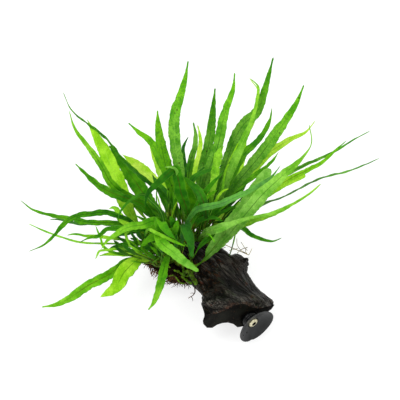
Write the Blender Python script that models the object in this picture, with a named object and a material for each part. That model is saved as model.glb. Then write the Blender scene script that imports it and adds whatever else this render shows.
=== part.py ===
"""Java fern (narrow leaf) grown on a driftwood stump, with a suction cup screwed to the stump's sawn end.

Places are chosen in the picture frame of the plant seen from the front and above: across to the right,
down the picture, and toward the viewer, in pixels. PIXEL turns them into metres. The world is +Z up.
"""

import math

import bmesh
import bpy
import numpy as np
from mathutils import Matrix, Vector
from mathutils.bvhtree import BVHTree
from mathutils.kdtree import KDTree

# Driving dimensions, metres
CUP_DIAMETER = 0.0365
GAP = 0.0003
SCREW_RADIUS = 0.002
RHIZOME_RADIUS = 0.0020
STALK_RADIUS = 0.00065
BLADE_THICKNESS = 0.0008
FLOOR_CLEARANCE = 0.0012

# The picture frame
CUP_ACROSS = 40.6
PIXEL = CUP_DIAMETER / CUP_ACROSS
CENTRE_ACROSS = 200
FLOOR_LINE = 342
VIEW_TILT = math.radians(40)
TO_VIEWER = Vector((0, -math.cos(VIEW_TILT), math.sin(VIEW_TILT)))

# The cup: the middle of its rim, and the way it faces
CUP_SPOT = (256.7, 326.8, 12.85)
CUP_FACES = Vector((0.570, -0.663, 0.485)).normalized()
CUP_HEIGHT = 0.0135
CUP_STEPS = 32
# (radius, height) round the section of the rubber, in millimetres from the rim's plane
CUP_PROFILE = (
    (2.3, -13.5), (7.1, -13.5), (7.4, -12.9), (7.4, -10.6), (6.3, -9.9), (6.2, -8.7), (7.6, -7.5),
    (11.6, -5.0), (15.6, -2.4), (17.8, -0.9), (18.25, -0.3), (18.15, 0.0), (17.25, 0.0),
    (16.0, -0.9), (12.2, -3.0), (8.0, -4.9), (5.3, -5.8), (5.1, -6.6), (2.3, -6.6),
)
SCREW_STEPS = 20
SCREW_PROFILE = (
    (0.0, -3.9), (1.9, -4.0), (3.6, -4.5), (4.6, -5.3), (4.7, -6.25), (2.0, -6.25), (2.0, -24.0), (0.0, -28.5),
)
SOCKET_RADIUS = 0.0014
SOCKET_DEPTH = 0.0014
SCREW_HOLE_DEPTH = 0.017
POCKET_RADIUS = 0.0082

# The wood: its sawn face's outline, then rings of (left edge, right edge, height, half depth)
SAWN_FACES = Vector((0.36, -0.71, 0.605)).normalized()
SAWN_SETBACK = 2.0
SLANT = 0.5
SLANT_STEPS = 9
FACE_BACKING = 1.6
SAWN_FRONT = (
    (274.6, 304.6), (268, 307.5), (259, 308.2), (250, 306.6), (241.4, 303.6), (230, 307.8), (220, 312),
    (212, 313.8), (203.6, 312.6),
)
SAWN_BACK = (
    (203.6, 312.6), (202.4, 320), (204.8, 326), (210.6, 328.3), (218, 324.2), (226.4, 322.4), (233, 323.8),
    (239, 327.6), (249, 323), (261, 315), (269.5, 311.2), (274.6, 304.6),
)
WOOD_RINGS = (
    ((200.6, 303.5), (272.8, 300.8), 24.5, 43),
    ((200.8, 299), (266.5, 296), 23.5, 41),
    ((202.6, 295.8), (261, 292.4), 22, 39),
    ((198, 292), (255.4, 286), 20.5, 37),
    ((193, 286), (250.6, 279.4), 19.5, 35),
    ((188, 279), (247, 273), 19, 35),
    ((181, 272), (247.6, 265), 19, 35),
    ((173, 266), (246, 257.6), 19.5, 35),
    ((166, 260), (236, 252), 20, 35),
    ((161, 253), (224, 246), 20.5, 34),
    ((160, 245), (211, 239), 21, 30),
    ((164, 239), (199, 235), 23, 21),
)
WOOD_END = (181, 234, 25)
WOOD_STEPS = 26
WOOD_SPAN = 34
GROOVES = ((7, 0.030, 0.6), (13, 0.018, 2.1), (21, 0.012, 4.0))
# Lumps on the wood: (across, down, toward, reach, height)
KNOTS = (
    (240, 260, 2, 11, 4.2),
    (233, 283, 14, 13, 2.4),
    (209, 306, 36, 9, 2.2),
    (222, 268, 0, 12, -2.6),
    (186, 238, -96, 13, 5.0),
    (167, 247, -92, 11, -3.5),
    (231, 259, -86, 13, 4.0),
    (196, 275, -84, 14, -3.0),
)
SPUR = ((241, 264, -50), (250.4, 255.2, -46), 3.0)

# The creeping stems, front to back along the wood
RHIZOMES = (
    ((157, 257), (164, 252), (172, 248), (182, 245), (193, 243), (203, 244), (211, 247)),
    ((150, 262), (157, 265.5), (165, 266), (172, 264), (180, 263.5), (187, 265)),
    ((186, 273), (192, 272.5), (195.5, 279), (199, 285.5)),
)
RHIZOME_SIDES = 2
RHIZOME_STEPS = 16

# The felt of roots on the wood's left flank, deep enough behind to stand on the floor
MAT_SPOT = (166, 272, -48)
MAT_SIZE = (27, 10, 14)
MAT_BACK = 46
MAT_SLOPE = math.radians(-31)

# Leaves: (width, turn in degrees, lean at the middle, lean at the tip, taper), then places along the middle
LEAVES = (
    ((4.5, 55, 12, 24, 1.2), (170, 205), (147, 181), (126, 163), (106, 138), (88, 124), (72, 111), (63, 92.5)),
    ((7.5, 20, 30, 50, 1.2), (160, 215), (117, 189), (106, 173), (98, 160), (86, 144), (75, 129), (69.5, 112)),
    ((17, 10, 4, -14, 1.0), (149, 241), (138, 225), (128, 209), (118, 185), (106, 155), (95, 135), (87, 120)),
    ((15, 10, -12, -30, 1.1), (166, 224), (150, 205), (144, 195), (127, 170), (116, 155), (109, 146)),
    ((12, -15, -30, -60, 0.9), (172, 200), (158, 181), (147, 168), (139, 159), (122.5, 154)),
    ((8, 35, 34, 44, 1.2), (152, 217), (141, 203), (129, 199), (113, 193), (101, 187), (88, 176), (76, 164.5)),
    ((9, 15, -34, -55, 1.1), (172, 190), (163, 165), (152, 143), (140, 133), (128.5, 123)),
    ((12, -10, 18, 40, 1.1), (174, 200), (168, 175), (163, 155), (160, 140), (158, 127), (157.5, 111.5)),
    ((8, 10, -55, -90, 1.0), (172, 205), (168, 195), (160, 173), (153, 155), (148.5, 142)),
    ((11.5, 15, 30, 62, 1.3), (183, 225), (182, 190), (178, 160), (174.5, 138), (175, 115), (180, 98), (185, 80),
     (188, 62)),
    ((7, 25, -20, -30, 1.1), (186, 195), (188, 179), (191.5, 158), (196, 140), (193.5, 123)),
    ((5, 30, -45, -70, 1.1), (190, 195), (193, 176), (196.5, 164), (200.8, 143), (197.8, 125.5)),
    ((10, -15, 10, 22, 1.2), (193, 215), (202, 170), (207, 152), (211, 129), (213, 110), (215, 89)),
    ((10, 15, 30, 55, 1.2), (196, 215), (207, 175), (215, 155), (221, 133), (225, 112), (233, 90), (234.5, 74)),
    ((9.5, 0, -55, -95, 1.0), (202, 205), (213, 175), (218, 159), (223.5, 146)),
    ((11, 10, 20, 50, 1.3), (204, 218), (225, 167), (233, 143), (244, 124), (257, 112), (265, 90), (273, 58.5)),
    ((8, -15, -12, -8, 1.1), (212, 208), (228, 167), (236, 152), (247, 133), (254, 118), (257.5, 100),
     (258.7, 88), (250.3, 78.4)),
    ((8, 0, -70, -105, 1.0), (222, 205), (235, 180), (243, 160), (247, 141)),
    ((5.5, 35, -30, -45, 1.2), (216, 208), (242, 158), (253, 146), (264, 133), (270, 121), (272.5, 108)),
    ((11.5, 10, 18, 45, 1.3), (212, 215), (237, 183), (255, 162), (268, 145), (283, 124), (296, 104),
     (303.5, 86)),
    ((6, 10, -45, -70, 1.9), (226, 204), (240, 185), (260, 162), (271, 151), (281, 145), (294, 137), (306, 132),
     (316, 120.5)),
    ((4, 40, -8, -18, 1.1), (225, 200), (248, 181), (261, 171), (271, 163), (278.5, 152.5)),
    ((15, 15, 30, 52, 1.6), (196, 266), (212, 250), (226, 238), (245, 215), (262, 195), (280, 178), (300, 160),
     (311, 147), (308, 133), (309, 125.5)),
    ((17, -10, 16, 14, 0.7), (200, 264), (210, 252), (225, 234), (243, 211), (253, 192), (262, 178), (270, 170)),
    ((6.5, 25, 62, 80, 1.1), (192, 214), (218, 205), (234, 198), (249, 191), (264, 182), (275, 174),
     (279.5, 166.5)),
    ((11.5, -15, 26, 44, 1.7), (194, 242), (219, 231), (245, 223.5), (268, 216), (286, 208), (306, 195.5),
     (320, 184.5)),
    ((4.5, 50, 4, 4, 1.1), (215, 225), (245, 214), (266.5, 203), (281, 198), (301, 188), (321, 178),
     (339, 174), (352, 170), (367, 164), (379.3, 158.4)),
    ((5, 35, -22, -34, 1.8), (240, 200), (275, 181), (303, 166), (317, 160), (330, 154), (343, 147), (352, 141),
     (363, 134), (370.3, 131)),
    ((6, 20, -10, 10, 1.2), (250, 200), (287, 181), (299, 174), (312, 168), (326, 160), (335, 151), (342, 147),
     (346.3, 141)),
    ((8, 0, -50, -80, 0.6), (238, 207), (262, 197), (281, 186), (293, 181), (305.5, 175)),
    ((5, 30, 18, 30, 1.2), (215, 222), (241, 228), (246, 231), (253, 236), (263, 239.5), (272, 241.5),
     (280.7, 238.4)),
    ((5.5, 30, 14, -10, 1.3), (154, 234), (126, 224), (105.7, 222.7), (86.5, 222), (68, 218), (54.6, 216.3),
     (39.5, 212.3), (26, 207), (20.3, 201)),
    ((5, 25, -12, -25, 1.0), (150, 236), (126, 225), (99, 223), (86, 223.5), (72.5, 223), (60, 219.5),
     (50, 219.5)),
    ((6, 30, 36, 30, 1.4), (135, 225), (118, 216), (111.8, 213.7), (104.6, 212), (87.7, 214), (72.5, 217),
     (61.8, 225.7), (55.5, 234), (45.7, 243.6), (30, 251)),
    ((3.5, 40, 70, 88, 1.0), (162, 214), (155, 205), (142.4, 193.7), (133.3, 198.7), (125.6, 204.8),
     (120.2, 212.5), (118.3, 222)),
    ((2.2, 20, -2, -14, 1.0), (148, 246), (120, 244), (99.3, 243.6), (84, 243), (74.3, 241.3), (63.6, 238.2),
     (52.9, 234.6), (39.5, 229.3), (28.8, 224.4)),
    ((6, 20, 36, 34, 1.2), (158, 234), (140, 229), (119.8, 228.4), (110.9, 228.4), (104.6, 230.2),
     (99.3, 235.5), (90.4, 237.3), (80.5, 242)),
    ((8.5, -15, 66, 62, 1.2), (170, 226), (160, 221), (149, 222), (140, 226), (133, 226), (126, 228),
     (114, 236), (108, 240), (102, 248)),
    ((4.5, 20, 24, 32, 1.1), (150, 242), (147, 230), (154, 233), (164, 237), (173.5, 241), (183, 244.6),
     (186.4, 246.5)),
    ((11, 10, 86, 106, 0.6), (163, 240), (158.7, 236.5), (163, 244), (173.5, 252), (183, 260.4), (192.6, 267),
     (197.4, 270)),
    ((8, 20, 46, 44, 1.2), (169, 252), (167, 258), (163, 272), (159.2, 288.4), (153, 303.7), (149, 308.8)),
    ((14, 10, 12, 18, 1.1), (160.5, 264), (145, 258), (135, 261.6), (122, 275), (116, 287), (101, 296.7)),
    ((10, 15, 6, 14, 1.3), (158, 262), (132.3, 258), (117, 268.6), (103.8, 277.5), (90.4, 284), (81.4, 290),
     (68, 299), (54.6, 305), (42.6, 307)),
    ((5, 10, -6, -14, 0.8), (160, 248), (150, 250), (133, 253.4), (121.6, 254.3), (108.2, 254.3), (99.7, 256)),
    ((10, 20, 36, 44, 1.0), (175, 238), (166, 232), (157.7, 235.4), (150, 238.5), (141, 246)),
    ((10, 20, 66, 92, 1.0), (184, 218), (186, 226), (189, 235), (191, 246), (191.7, 255.6)),
    ((8, 30, 78, 100, 1.0), (160, 222), (163, 224.5), (168.7, 232), (175, 238.4)),
    ((8.5, 15, 66, 84, 1.0), (185, 205), (180, 175), (173, 166.5), (167, 175), (155, 185.5), (147, 195),
     (145, 207)),
    ((12, 15, 34, 68, 1.1), (195, 225), (191.6, 213), (187, 195), (181, 182), (175, 169), (166, 167)),
    ((8, -10, 30, 46, 1.1), (203, 215), (202.4, 201), (198, 191.6), (187, 182.5), (178, 175)),
    ((5, 25, 20, 44, 1.2), (194, 205), (191.5, 182), (200, 173.7), (210.6, 170), (222.8, 165.3)),
    ((7, 20, 44, 66, 1.2), (190, 224), (205, 193), (213, 183), (223, 172)),
    ((5, 30, 30, 50, 1.2), (206, 220), (215, 212), (230, 200), (243, 189.5)),
)
LEAF_RINGS = 13
RING_SHARES = np.linspace(0, 1, LEAF_RINGS + 1) ** 1.2
STALK_SHARE = 0.2
LEAN_STARTS = 0.12
STALK_ROWS = (0.0, 0.7)
FRONT_LEAN = 35
FRONT_DOWN = 258
WIDEST_AT = 0.42
KEEL = 0.16

# How leaves make room for each other, in pixels
ROOM = 2.5
SOLID_ROOM = 1.5
CELL = 2.4
STALK_ROOM = 0.75
THIN = 2.2
STALK_FOOT = 5
FINE_STEPS = 70
ACROSS_STEPS = 7
SPREAD = 0.6
EASING = 0.12
ROUNDS = ((300, 25), (80, 25), (60, 20))

COLOURS = {
    "wood": ((0.030, 0.022, 0.016), 0.85, 0.0),
    "rubber": ((0.030, 0.031, 0.031), 0.45, 0.0),
    "steel": ((0.60, 0.58, 0.45), 0.30, 1.0),
    "stem": ((0.11, 0.24, 0.03), 0.45, 0.0),
    "root": ((0.035, 0.022, 0.012), 0.9, 0.0),
    "leaf": ((0.08, 0.30, 0.02), 0.40, 0.0),
}


def clear_scene():
    for thing in list(bpy.data.objects):
        bpy.data.objects.remove(thing, do_unlink=True)


def spot(across, down, toward):
    """A place in the picture frame as a world point in metres."""
    rise = FLOOR_LINE - down
    return Vector((
        across - CENTRE_ACROSS,
        rise * math.sin(VIEW_TILT) - toward * math.cos(VIEW_TILT),
        rise * math.cos(VIEW_TILT) + toward * math.sin(VIEW_TILT),
    )) * PIXEL


def heading(direction):
    """A direction in (right, up the picture, toward the viewer) as a world direction."""
    right, up, toward = direction
    return Vector((
        right,
        up * math.sin(VIEW_TILT) - toward * math.cos(VIEW_TILT),
        up * math.cos(VIEW_TILT) + toward * math.sin(VIEW_TILT),
    ))


def toward_at_height(down, height):
    """How far toward the viewer a point at this height stands, in pixels."""
    rise = FLOOR_LINE - down
    return (height - rise * math.cos(VIEW_TILT)) / math.sin(VIEW_TILT)


def smooth_line(points, count):
    """Count points evenly spaced along a smooth curve through the given ones."""
    knots = np.array(points, float)
    ends = np.concatenate([2 * knots[:1] - knots[1:2], knots, 2 * knots[-1:] - knots[-2:-1]])
    pieces = []
    for start in range(len(knots) - 1):
        before, first, second, after = ends[start:start + 4]
        for share in np.linspace(0, 1, 12, endpoint=False):
            pieces.append(0.5 * (
                2 * first + (second - before) * share
                + (2 * before - 5 * first + 4 * second - after) * share ** 2
                + (3 * first - before - 3 * second + after) * share ** 3
            ))
    pieces.append(knots[-1])
    line = np.array(pieces)
    return resample(line, count)


def resample(line, count):
    steps = np.linalg.norm(np.diff(line, axis=0), axis=1)
    along = np.concatenate([[0], np.cumsum(steps)])
    wanted = np.linspace(0, along[-1], count)
    return np.stack([np.interp(wanted, along, line[:, axis]) for axis in range(line.shape[1])], axis=1)


def material(finish, owner):
    """A material of its own for one object."""
    colour, roughness, metallic = COLOURS[finish]
    made = bpy.data.materials.new(f"{finish}_{owner}")
    made.use_nodes = True
    shader = made.node_tree.nodes["Principled BSDF"]
    shader.inputs["Base Color"].default_value = (*colour, 1)
    shader.inputs["Roughness"].default_value = roughness
    shader.inputs["Metallic"].default_value = metallic
    return made


def place(name, data, finish, collection):
    thing = bpy.data.objects.new(name, data)
    thing.data.materials.append(material(finish, name))
    collection.objects.link(thing)
    return thing


def mesh_from(shape, name):
    data = bpy.data.meshes.new(name)
    bmesh.ops.recalc_face_normals(shape, faces=shape.faces)
    if shape.calc_volume(signed=True) < 0:
        bmesh.ops.reverse_faces(shape, faces=shape.faces)
    shape.to_mesh(data)
    shape.free()
    return data


def loft(rings, start, end):
    """A closed skin over rings of equally many points, with a point before the first and after the last."""
    shape = bmesh.new()
    rows = [[shape.verts.new(point) for point in ring] for ring in rings]
    count = len(rows[0])
    for lower, upper in zip(rows, rows[1:]):
        for index in range(count):
            after = (index + 1) % count
            shape.faces.new((lower[index], lower[after], upper[after], upper[index]))
    for row, tip in ((rows[0], start), (rows[-1], end)):
        if tip is None:
            shape.faces.new(row)
            continue
        peak = shape.verts.new(tip)
        for index in range(count):
            shape.faces.new((row[index], row[(index + 1) % count], peak))
    bmesh.ops.triangulate(shape, faces=shape.faces)
    return shape


def cup_frame():
    """The cup's own frame: its origin in the middle of the rim, +Z the way it faces."""
    facing = heading(CUP_FACES).normalized()
    turn = facing.to_track_quat("Z", "Y").to_matrix().to_4x4()
    return Matrix.Translation(spot(*CUP_SPOT)) @ turn


def turned(name, profile, steps, finish, collection):
    """A closed profile in millimetres turned round the cup's axis."""
    shape = bmesh.new()
    corners = [shape.verts.new((radius / 1000, 0, height / 1000)) for radius, height in profile]
    edges = [shape.edges.new(pair) for pair in zip(corners, corners[1:])]
    if profile[0][0] > 0:
        edges.append(shape.edges.new((corners[-1], corners[0])))
    bmesh.ops.spin(
        shape, geom=corners + edges, axis=(0, 0, 1), cent=(0, 0, 0), angle=2 * math.pi, steps=steps,
        use_merge=True,
    )
    bmesh.ops.remove_doubles(shape, verts=shape.verts, dist=1e-6)
    shape.transform(cup_frame())
    thing = place(name, mesh_from(shape, name), finish, collection)
    thing.data.shade_smooth()
    thing.data.set_sharp_from_angle(angle=math.radians(40))
    return thing


def cylinder_cutter(name, radius, low, high, sides, cutters):
    """A cylinder on the cup's axis, from low to high in metres from the rim's plane."""
    shape = bmesh.new()
    bmesh.ops.create_cone(
        shape, cap_ends=True, segments=sides, radius1=radius, radius2=radius, depth=high - low
    )
    shape.transform(cup_frame() @ Matrix.Translation((0, 0, (low + high) / 2)))
    cutter = bpy.data.objects.new(name, mesh_from(shape, name))
    cutters.objects.link(cutter)
    cutter.hide_render = True
    cutter.display_type = "WIRE"
    return cutter


def cut(thing, cutter, operation="DIFFERENCE"):
    step = thing.modifiers.new(cutter.name, "BOOLEAN")
    step.object = cutter
    step.operation = operation


def sawn_point(across, down):
    """The picture's point carried onto the sawn face's plane."""
    middle = np.array(CUP_SPOT) - (CUP_HEIGHT / PIXEL - SAWN_SETBACK) * np.array((1, -1, 1)) * CUP_FACES
    offset = SAWN_FACES[0] * (across - middle[0]) - SAWN_FACES[1] * (down - middle[1])
    return across, down, middle[2] - offset / SAWN_FACES[2]


def sawn_ring():
    half = WOOD_SPAN // 2
    front = smooth_line(SAWN_FRONT, half + 1)
    back = smooth_line(SAWN_BACK, half + 1)
    return [sawn_point(*point) for point in np.concatenate([front[:-1], back[:-1]])]


def wood_rings():
    """Picture-frame rings from the sawn face to the far end."""
    rows = []
    for left, right, height, depth in WOOD_RINGS:
        rows.append((*left, *right, height, depth))
    rows = smooth_line(rows, WOOD_STEPS)
    angles = np.linspace(0, 2 * math.pi, WOOD_SPAN, endpoint=False)
    rings = [sawn_ring()]
    for step, (left, left_down, right, right_down, height, depth) in enumerate(rows):
        down = (left_down + right_down) / 2
        toward = toward_at_height(down, height)
        share = step / WOOD_STEPS
        slant = SLANT * max(0, 1 - step / SLANT_STEPS)
        ring = []
        for angle in angles:
            groove = 1
            for lobes, deep, start in GROOVES:
                groove += deep * math.cos(lobes * angle + start + 2.2 * share) * min(1, 4 * share + 0.2)
            across = (left + right) / 2 + (right - left) / 2 * math.cos(angle) * groove
            ring_down = down + (right_down - left_down) / 2 * math.cos(angle) * groove
            out = toward + depth * math.sin(angle) * groove - slant * (right - left) / 2 * math.cos(angle)
            behind_face = sawn_point(across, ring_down)[2] - FACE_BACKING * (step + 1)
            ring.append((across, ring_down, min(out, behind_face)))
        rings.append(ring)
    return rings


def raise_knots(shape):
    """Lumps and hollows on the wood's side, each fading with distance."""
    shape.normal_update()
    moves = {}
    for vertex in shape.verts:
        push = 0
        for across, down, toward, reach, height in KNOTS:
            near = (vertex.co - spot(across, down, toward)).length / (reach * PIXEL)
            push += height * PIXEL * math.exp(-near ** 2)
        moves[vertex] = vertex.normal * push
    for vertex, move in moves.items():
        vertex.co += move


def make_spur(cutters):
    """The small broken twig beside the knot, joined to the wood."""
    foot, tip, radius = SPUR
    start, end = spot(*foot), spot(*tip)
    shape = bmesh.new()
    bmesh.ops.create_cone(
        shape, cap_ends=True, segments=8, radius1=radius * PIXEL, radius2=radius * PIXEL / 3,
        depth=(end - start).length,
    )
    turn = (end - start).to_track_quat("Z", "Y").to_matrix().to_4x4()
    shape.transform(Matrix.Translation((start + end) / 2) @ turn)
    spur = bpy.data.objects.new("spur", mesh_from(shape, "spur"))
    cutters.objects.link(spur)
    spur.hide_render = True
    spur.display_type = "WIRE"
    return spur


def make_wood(collection, cutters):
    rings = [[spot(*point) for point in ring] for ring in wood_rings()]
    face_middle = sum(rings[0], Vector()) / WOOD_SPAN
    across, down, height = WOOD_END
    shape = loft(rings, face_middle, spot(across, down, toward_at_height(down, height)))
    shape.verts.ensure_lookup_table()
    face_points = set(shape.verts[:WOOD_SPAN])
    bmesh.ops.recalc_face_normals(shape, faces=shape.faces)
    sawn = {vertex: vertex.co.copy() for vertex in shape.verts
            if vertex in face_points or (vertex.co - face_middle).length < PIXEL}
    raise_knots(shape)
    for vertex, where in sawn.items():
        vertex.co = where
    for vertex in shape.verts:
        vertex.co.z = max(0, vertex.co.z)
    wood = place("driftwood", mesh_from(shape, "driftwood"), "wood", collection)
    cut(wood, make_spur(cutters), "UNION")
    floor = -CUP_HEIGHT - GAP
    cut(wood, cylinder_cutter("cup_pocket", POCKET_RADIUS, floor, 0.004, 28, cutters))
    hole_low = floor - SCREW_HOLE_DEPTH
    cut(wood, cylinder_cutter("screw_hole", SCREW_RADIUS + GAP, hole_low, floor + 0.001, 16, cutters))
    return wood


def finished(things):
    """The world points and the faces of these objects, with their modifiers applied."""
    bpy.context.view_layer.update()
    graph = bpy.context.evaluated_depsgraph_get()
    points, faces = [], []
    for thing in things:
        done = thing.evaluated_get(graph)
        data = done.to_mesh()
        start = len(points)
        points.extend(done.matrix_world @ vertex.co for vertex in data.vertices)
        faces.extend([start + index for index in face.vertices] for face in data.polygons)
        done.to_mesh_clear()
    return points, faces


def toward_on(tree, across, down, fallback):
    """Where the line of sight through this picture point first meets the solid."""
    hit = tree.ray_cast(spot(across, down, 300), -TO_VIEWER)
    if hit[0] is None:
        return fallback
    return 300 - hit[3] / PIXEL


def lay_on(tree, points, radius, fallback):
    """A smooth line over the solid, its middle a radius and a gap away from it."""
    line = []
    for across, down in smooth_line(points, RHIZOME_STEPS):
        line.append(spot(across, down, toward_on(tree, across, down, fallback)))
    line = [Vector(point) for point in smooth_line(line[::3] + [line[-1]], RHIZOME_STEPS)]
    clear = radius * 1.3 + 2 * GAP
    for _ in range(12):
        for index, point in enumerate(line):
            near, normal, _, distance = tree.find_nearest(point)
            inside = (point - near).dot(normal) < 0
            if inside:
                line[index] = near + normal * clear
            elif distance < clear:
                line[index] = near + (point - near).normalized() * clear
    return line


def make_rhizome(name, points, tree, fallback, collection):
    line = lay_on(tree, points, RHIZOME_RADIUS * 1.1, fallback)
    data = bpy.data.curves.new(name, "CURVE")
    data.dimensions = "3D"
    data.bevel_depth = RHIZOME_RADIUS
    data.bevel_resolution = RHIZOME_SIDES
    data.use_fill_caps = True
    spline = data.splines.new("POLY")
    spline.points.add(len(line) - 1)
    for index, (knot, point) in enumerate(zip(spline.points, line)):
        knot.co = (*point, 1)
        knot.radius = 0.84 + 0.08 * math.sin(2.3 * index)
    spline.points[0].radius = 0.45
    spline.points[-1].radius = 0.45
    place(name, data, "stem", collection)
    return [(point, tree.find_nearest(point)[1]) for point in line]


def make_root_mat(wood, collection, cutters):
    """A lumpy felt that hugs the wood: an oval body with the wood's own shape, grown by a gap, cut away."""
    shape = bmesh.new()
    bmesh.ops.create_uvsphere(shape, u_segments=20, v_segments=12, radius=1)
    right = heading((math.cos(MAT_SLOPE), math.sin(MAT_SLOPE), 0))
    up = heading((-math.sin(MAT_SLOPE), math.cos(MAT_SLOPE), 0))
    for vertex in shape.verts:
        x, y, z = vertex.co
        lump = 1 + 0.07 * math.sin(5 * x + 3 * z) + 0.06 * math.sin(7 * y + 4 * x)
        along, over, out = (size * PIXEL * lump for size in MAT_SIZE)
        if z < 0:
            out = MAT_BACK * PIXEL * lump
        vertex.co = spot(*MAT_SPOT) + right * x * along + up * y * over + TO_VIEWER * z * out
        vertex.co.z = max(0, vertex.co.z)
    mat = place("root_mat", mesh_from(shape, "root_mat"), "root", collection)
    clearance = bpy.data.objects.new("wood_clearance", wood.data.copy())
    grown = bmesh.new()
    grown.from_mesh(clearance.data)
    grown.normal_update()
    for vertex in grown.verts:
        vertex.co += vertex.normal * 2 * GAP
    grown.to_mesh(clearance.data)
    grown.free()
    cutters.objects.link(clearance)
    clearance.hide_render = True
    clearance.display_type = "WIRE"
    cut(mat, clearance)
    return mat


def picture_of(point):
    """A world point in the picture frame: across, down, toward, in pixels."""
    x, y, z = Vector(point) / PIXEL
    rise = y * math.sin(VIEW_TILT) + z * math.cos(VIEW_TILT)
    return np.array((x + CENTRE_ACROSS, FLOOR_LINE - rise, z * math.sin(VIEW_TILT) - y * math.cos(VIEW_TILT)))


def order_on_stem(across, down):
    """Leaves stand in the order of their first places; one that runs low starts nearer to the stem's end."""
    return across + 3 * max(0, down - 235) * (1 if across > 178 else -1)


def choose_bases(stems):
    """A start for each leaf: on the back or the front stem, in the order of their first places, in two rows."""
    groups = {}
    for index, row in enumerate(LEAVES):
        in_front = row[0][2] > FRONT_LEAN or row[1][1] > FRONT_DOWN
        groups.setdefault(1 if in_front else 0, []).append(index)
    bases = {}
    for number, members in groups.items():
        stem = stems[number]
        members.sort(key=lambda index: order_on_stem(*LEAVES[index][1]))
        points = np.array([point for point, _ in stem])
        outs = np.array([out for _, out in stem])
        for rank, index in enumerate(members):
            share = 0.04 + 0.92 * (rank + 0.5) / len(members)
            place_on = share * (len(points) - 1)
            low = min(int(place_on), len(points) - 2)
            middle = Vector(points[low] + (points[low + 1] - points[low]) * (place_on - low))
            along = Vector(points[low + 1] - points[low]).normalized()
            out = Vector(outs[low]).normalized()
            side = along.cross(out).normalized()
            first = spot(*LEAVES[index][1], picture_of(middle)[2]) - middle
            swing = math.copysign(STALK_ROWS[rank % 2], side.dot(first))
            way = (out + side * swing).normalized()
            reach = RHIZOME_RADIUS * 1.1 + GAP + 1.6 * STALK_RADIUS
            bases[index] = (picture_of(middle + way * reach), picture_of(middle + way * (reach + 0.003)))
    return bases


def leaf_plan(row, base):
    """A leaf before it makes room: its middle line, half widths and edge directions at each ring."""
    (width, turn, lean_middle, lean_tip, taper), places = row[0], row[1:]
    root, after = base
    flat = [root[:2], after[:2]] + [np.array(point, float) for point in places]
    flat = smooth_line(flat, FINE_STEPS)
    share = RING_SHARES
    flat = np.stack([np.interp(share, np.linspace(0, 1, FINE_STEPS), flat[:, axis]) for axis in (0, 1)], axis=1)
    lean = np.interp(share, (0, LEAN_STARTS, 0.5, 1), (0, 0.08 * lean_middle, lean_middle, lean_tip))
    lean[1:-1] = (lean[:-2] + 2 * lean[1:-1] + lean[2:]) / 4
    toward = root[2] + lean + (after[2] - root[2]) * np.minimum(1, share / share[1])
    blade = np.clip((share - STALK_SHARE) / (1 - STALK_SHARE), 0, 1)
    rising = np.sin(np.clip(blade / WIDEST_AT, 0, 1) * math.pi / 2)
    falling = np.cos(np.clip((blade - WIDEST_AT) / (1 - WIDEST_AT), 0, 1) * math.pi / 2) ** taper
    stalk = STALK_RADIUS / PIXEL
    half = stalk + (width / 2 / max(0.4, math.cos(math.radians(turn))) - stalk) * rising * falling
    half[-1] = 0
    tangent = np.gradient(flat, axis=0)
    tangent /= np.linalg.norm(tangent, axis=1, keepdims=True)
    sideways = np.stack([-tangent[:, 1], tangent[:, 0]], axis=1)
    turns = np.radians(turn) * np.clip(blade * 3, 0, 1)
    line = np.column_stack([flat, toward])
    edge = np.column_stack([sideways * np.cos(turns)[:, None], np.sin(turns)])
    return {"line": line, "half": half, "edge": edge}


def height_map(tree):
    """The least toward value over each square of the picture that the wood and stems fill."""
    floor = np.full((200, 200), -1e9)
    for column in range(60, 140):
        for row in range(105, 170):
            hit = toward_on(tree, 2 * column + 1, 2 * row + 1, None)
            if hit is not None:
                floor[column, row] = hit
    return floor


def between_rings(count):
    """Weights that turn ring values into values at evenly counted places along the straight skin between."""
    places = np.linspace(0, LEAF_RINGS, count)
    low = np.minimum(places.astype(int), LEAF_RINGS - 1)
    weights = np.zeros((count, LEAF_RINGS + 1))
    weights[np.arange(count), low] = 1 - (places - low)
    weights[np.arange(count), low + 1] = places - low
    return weights


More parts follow.
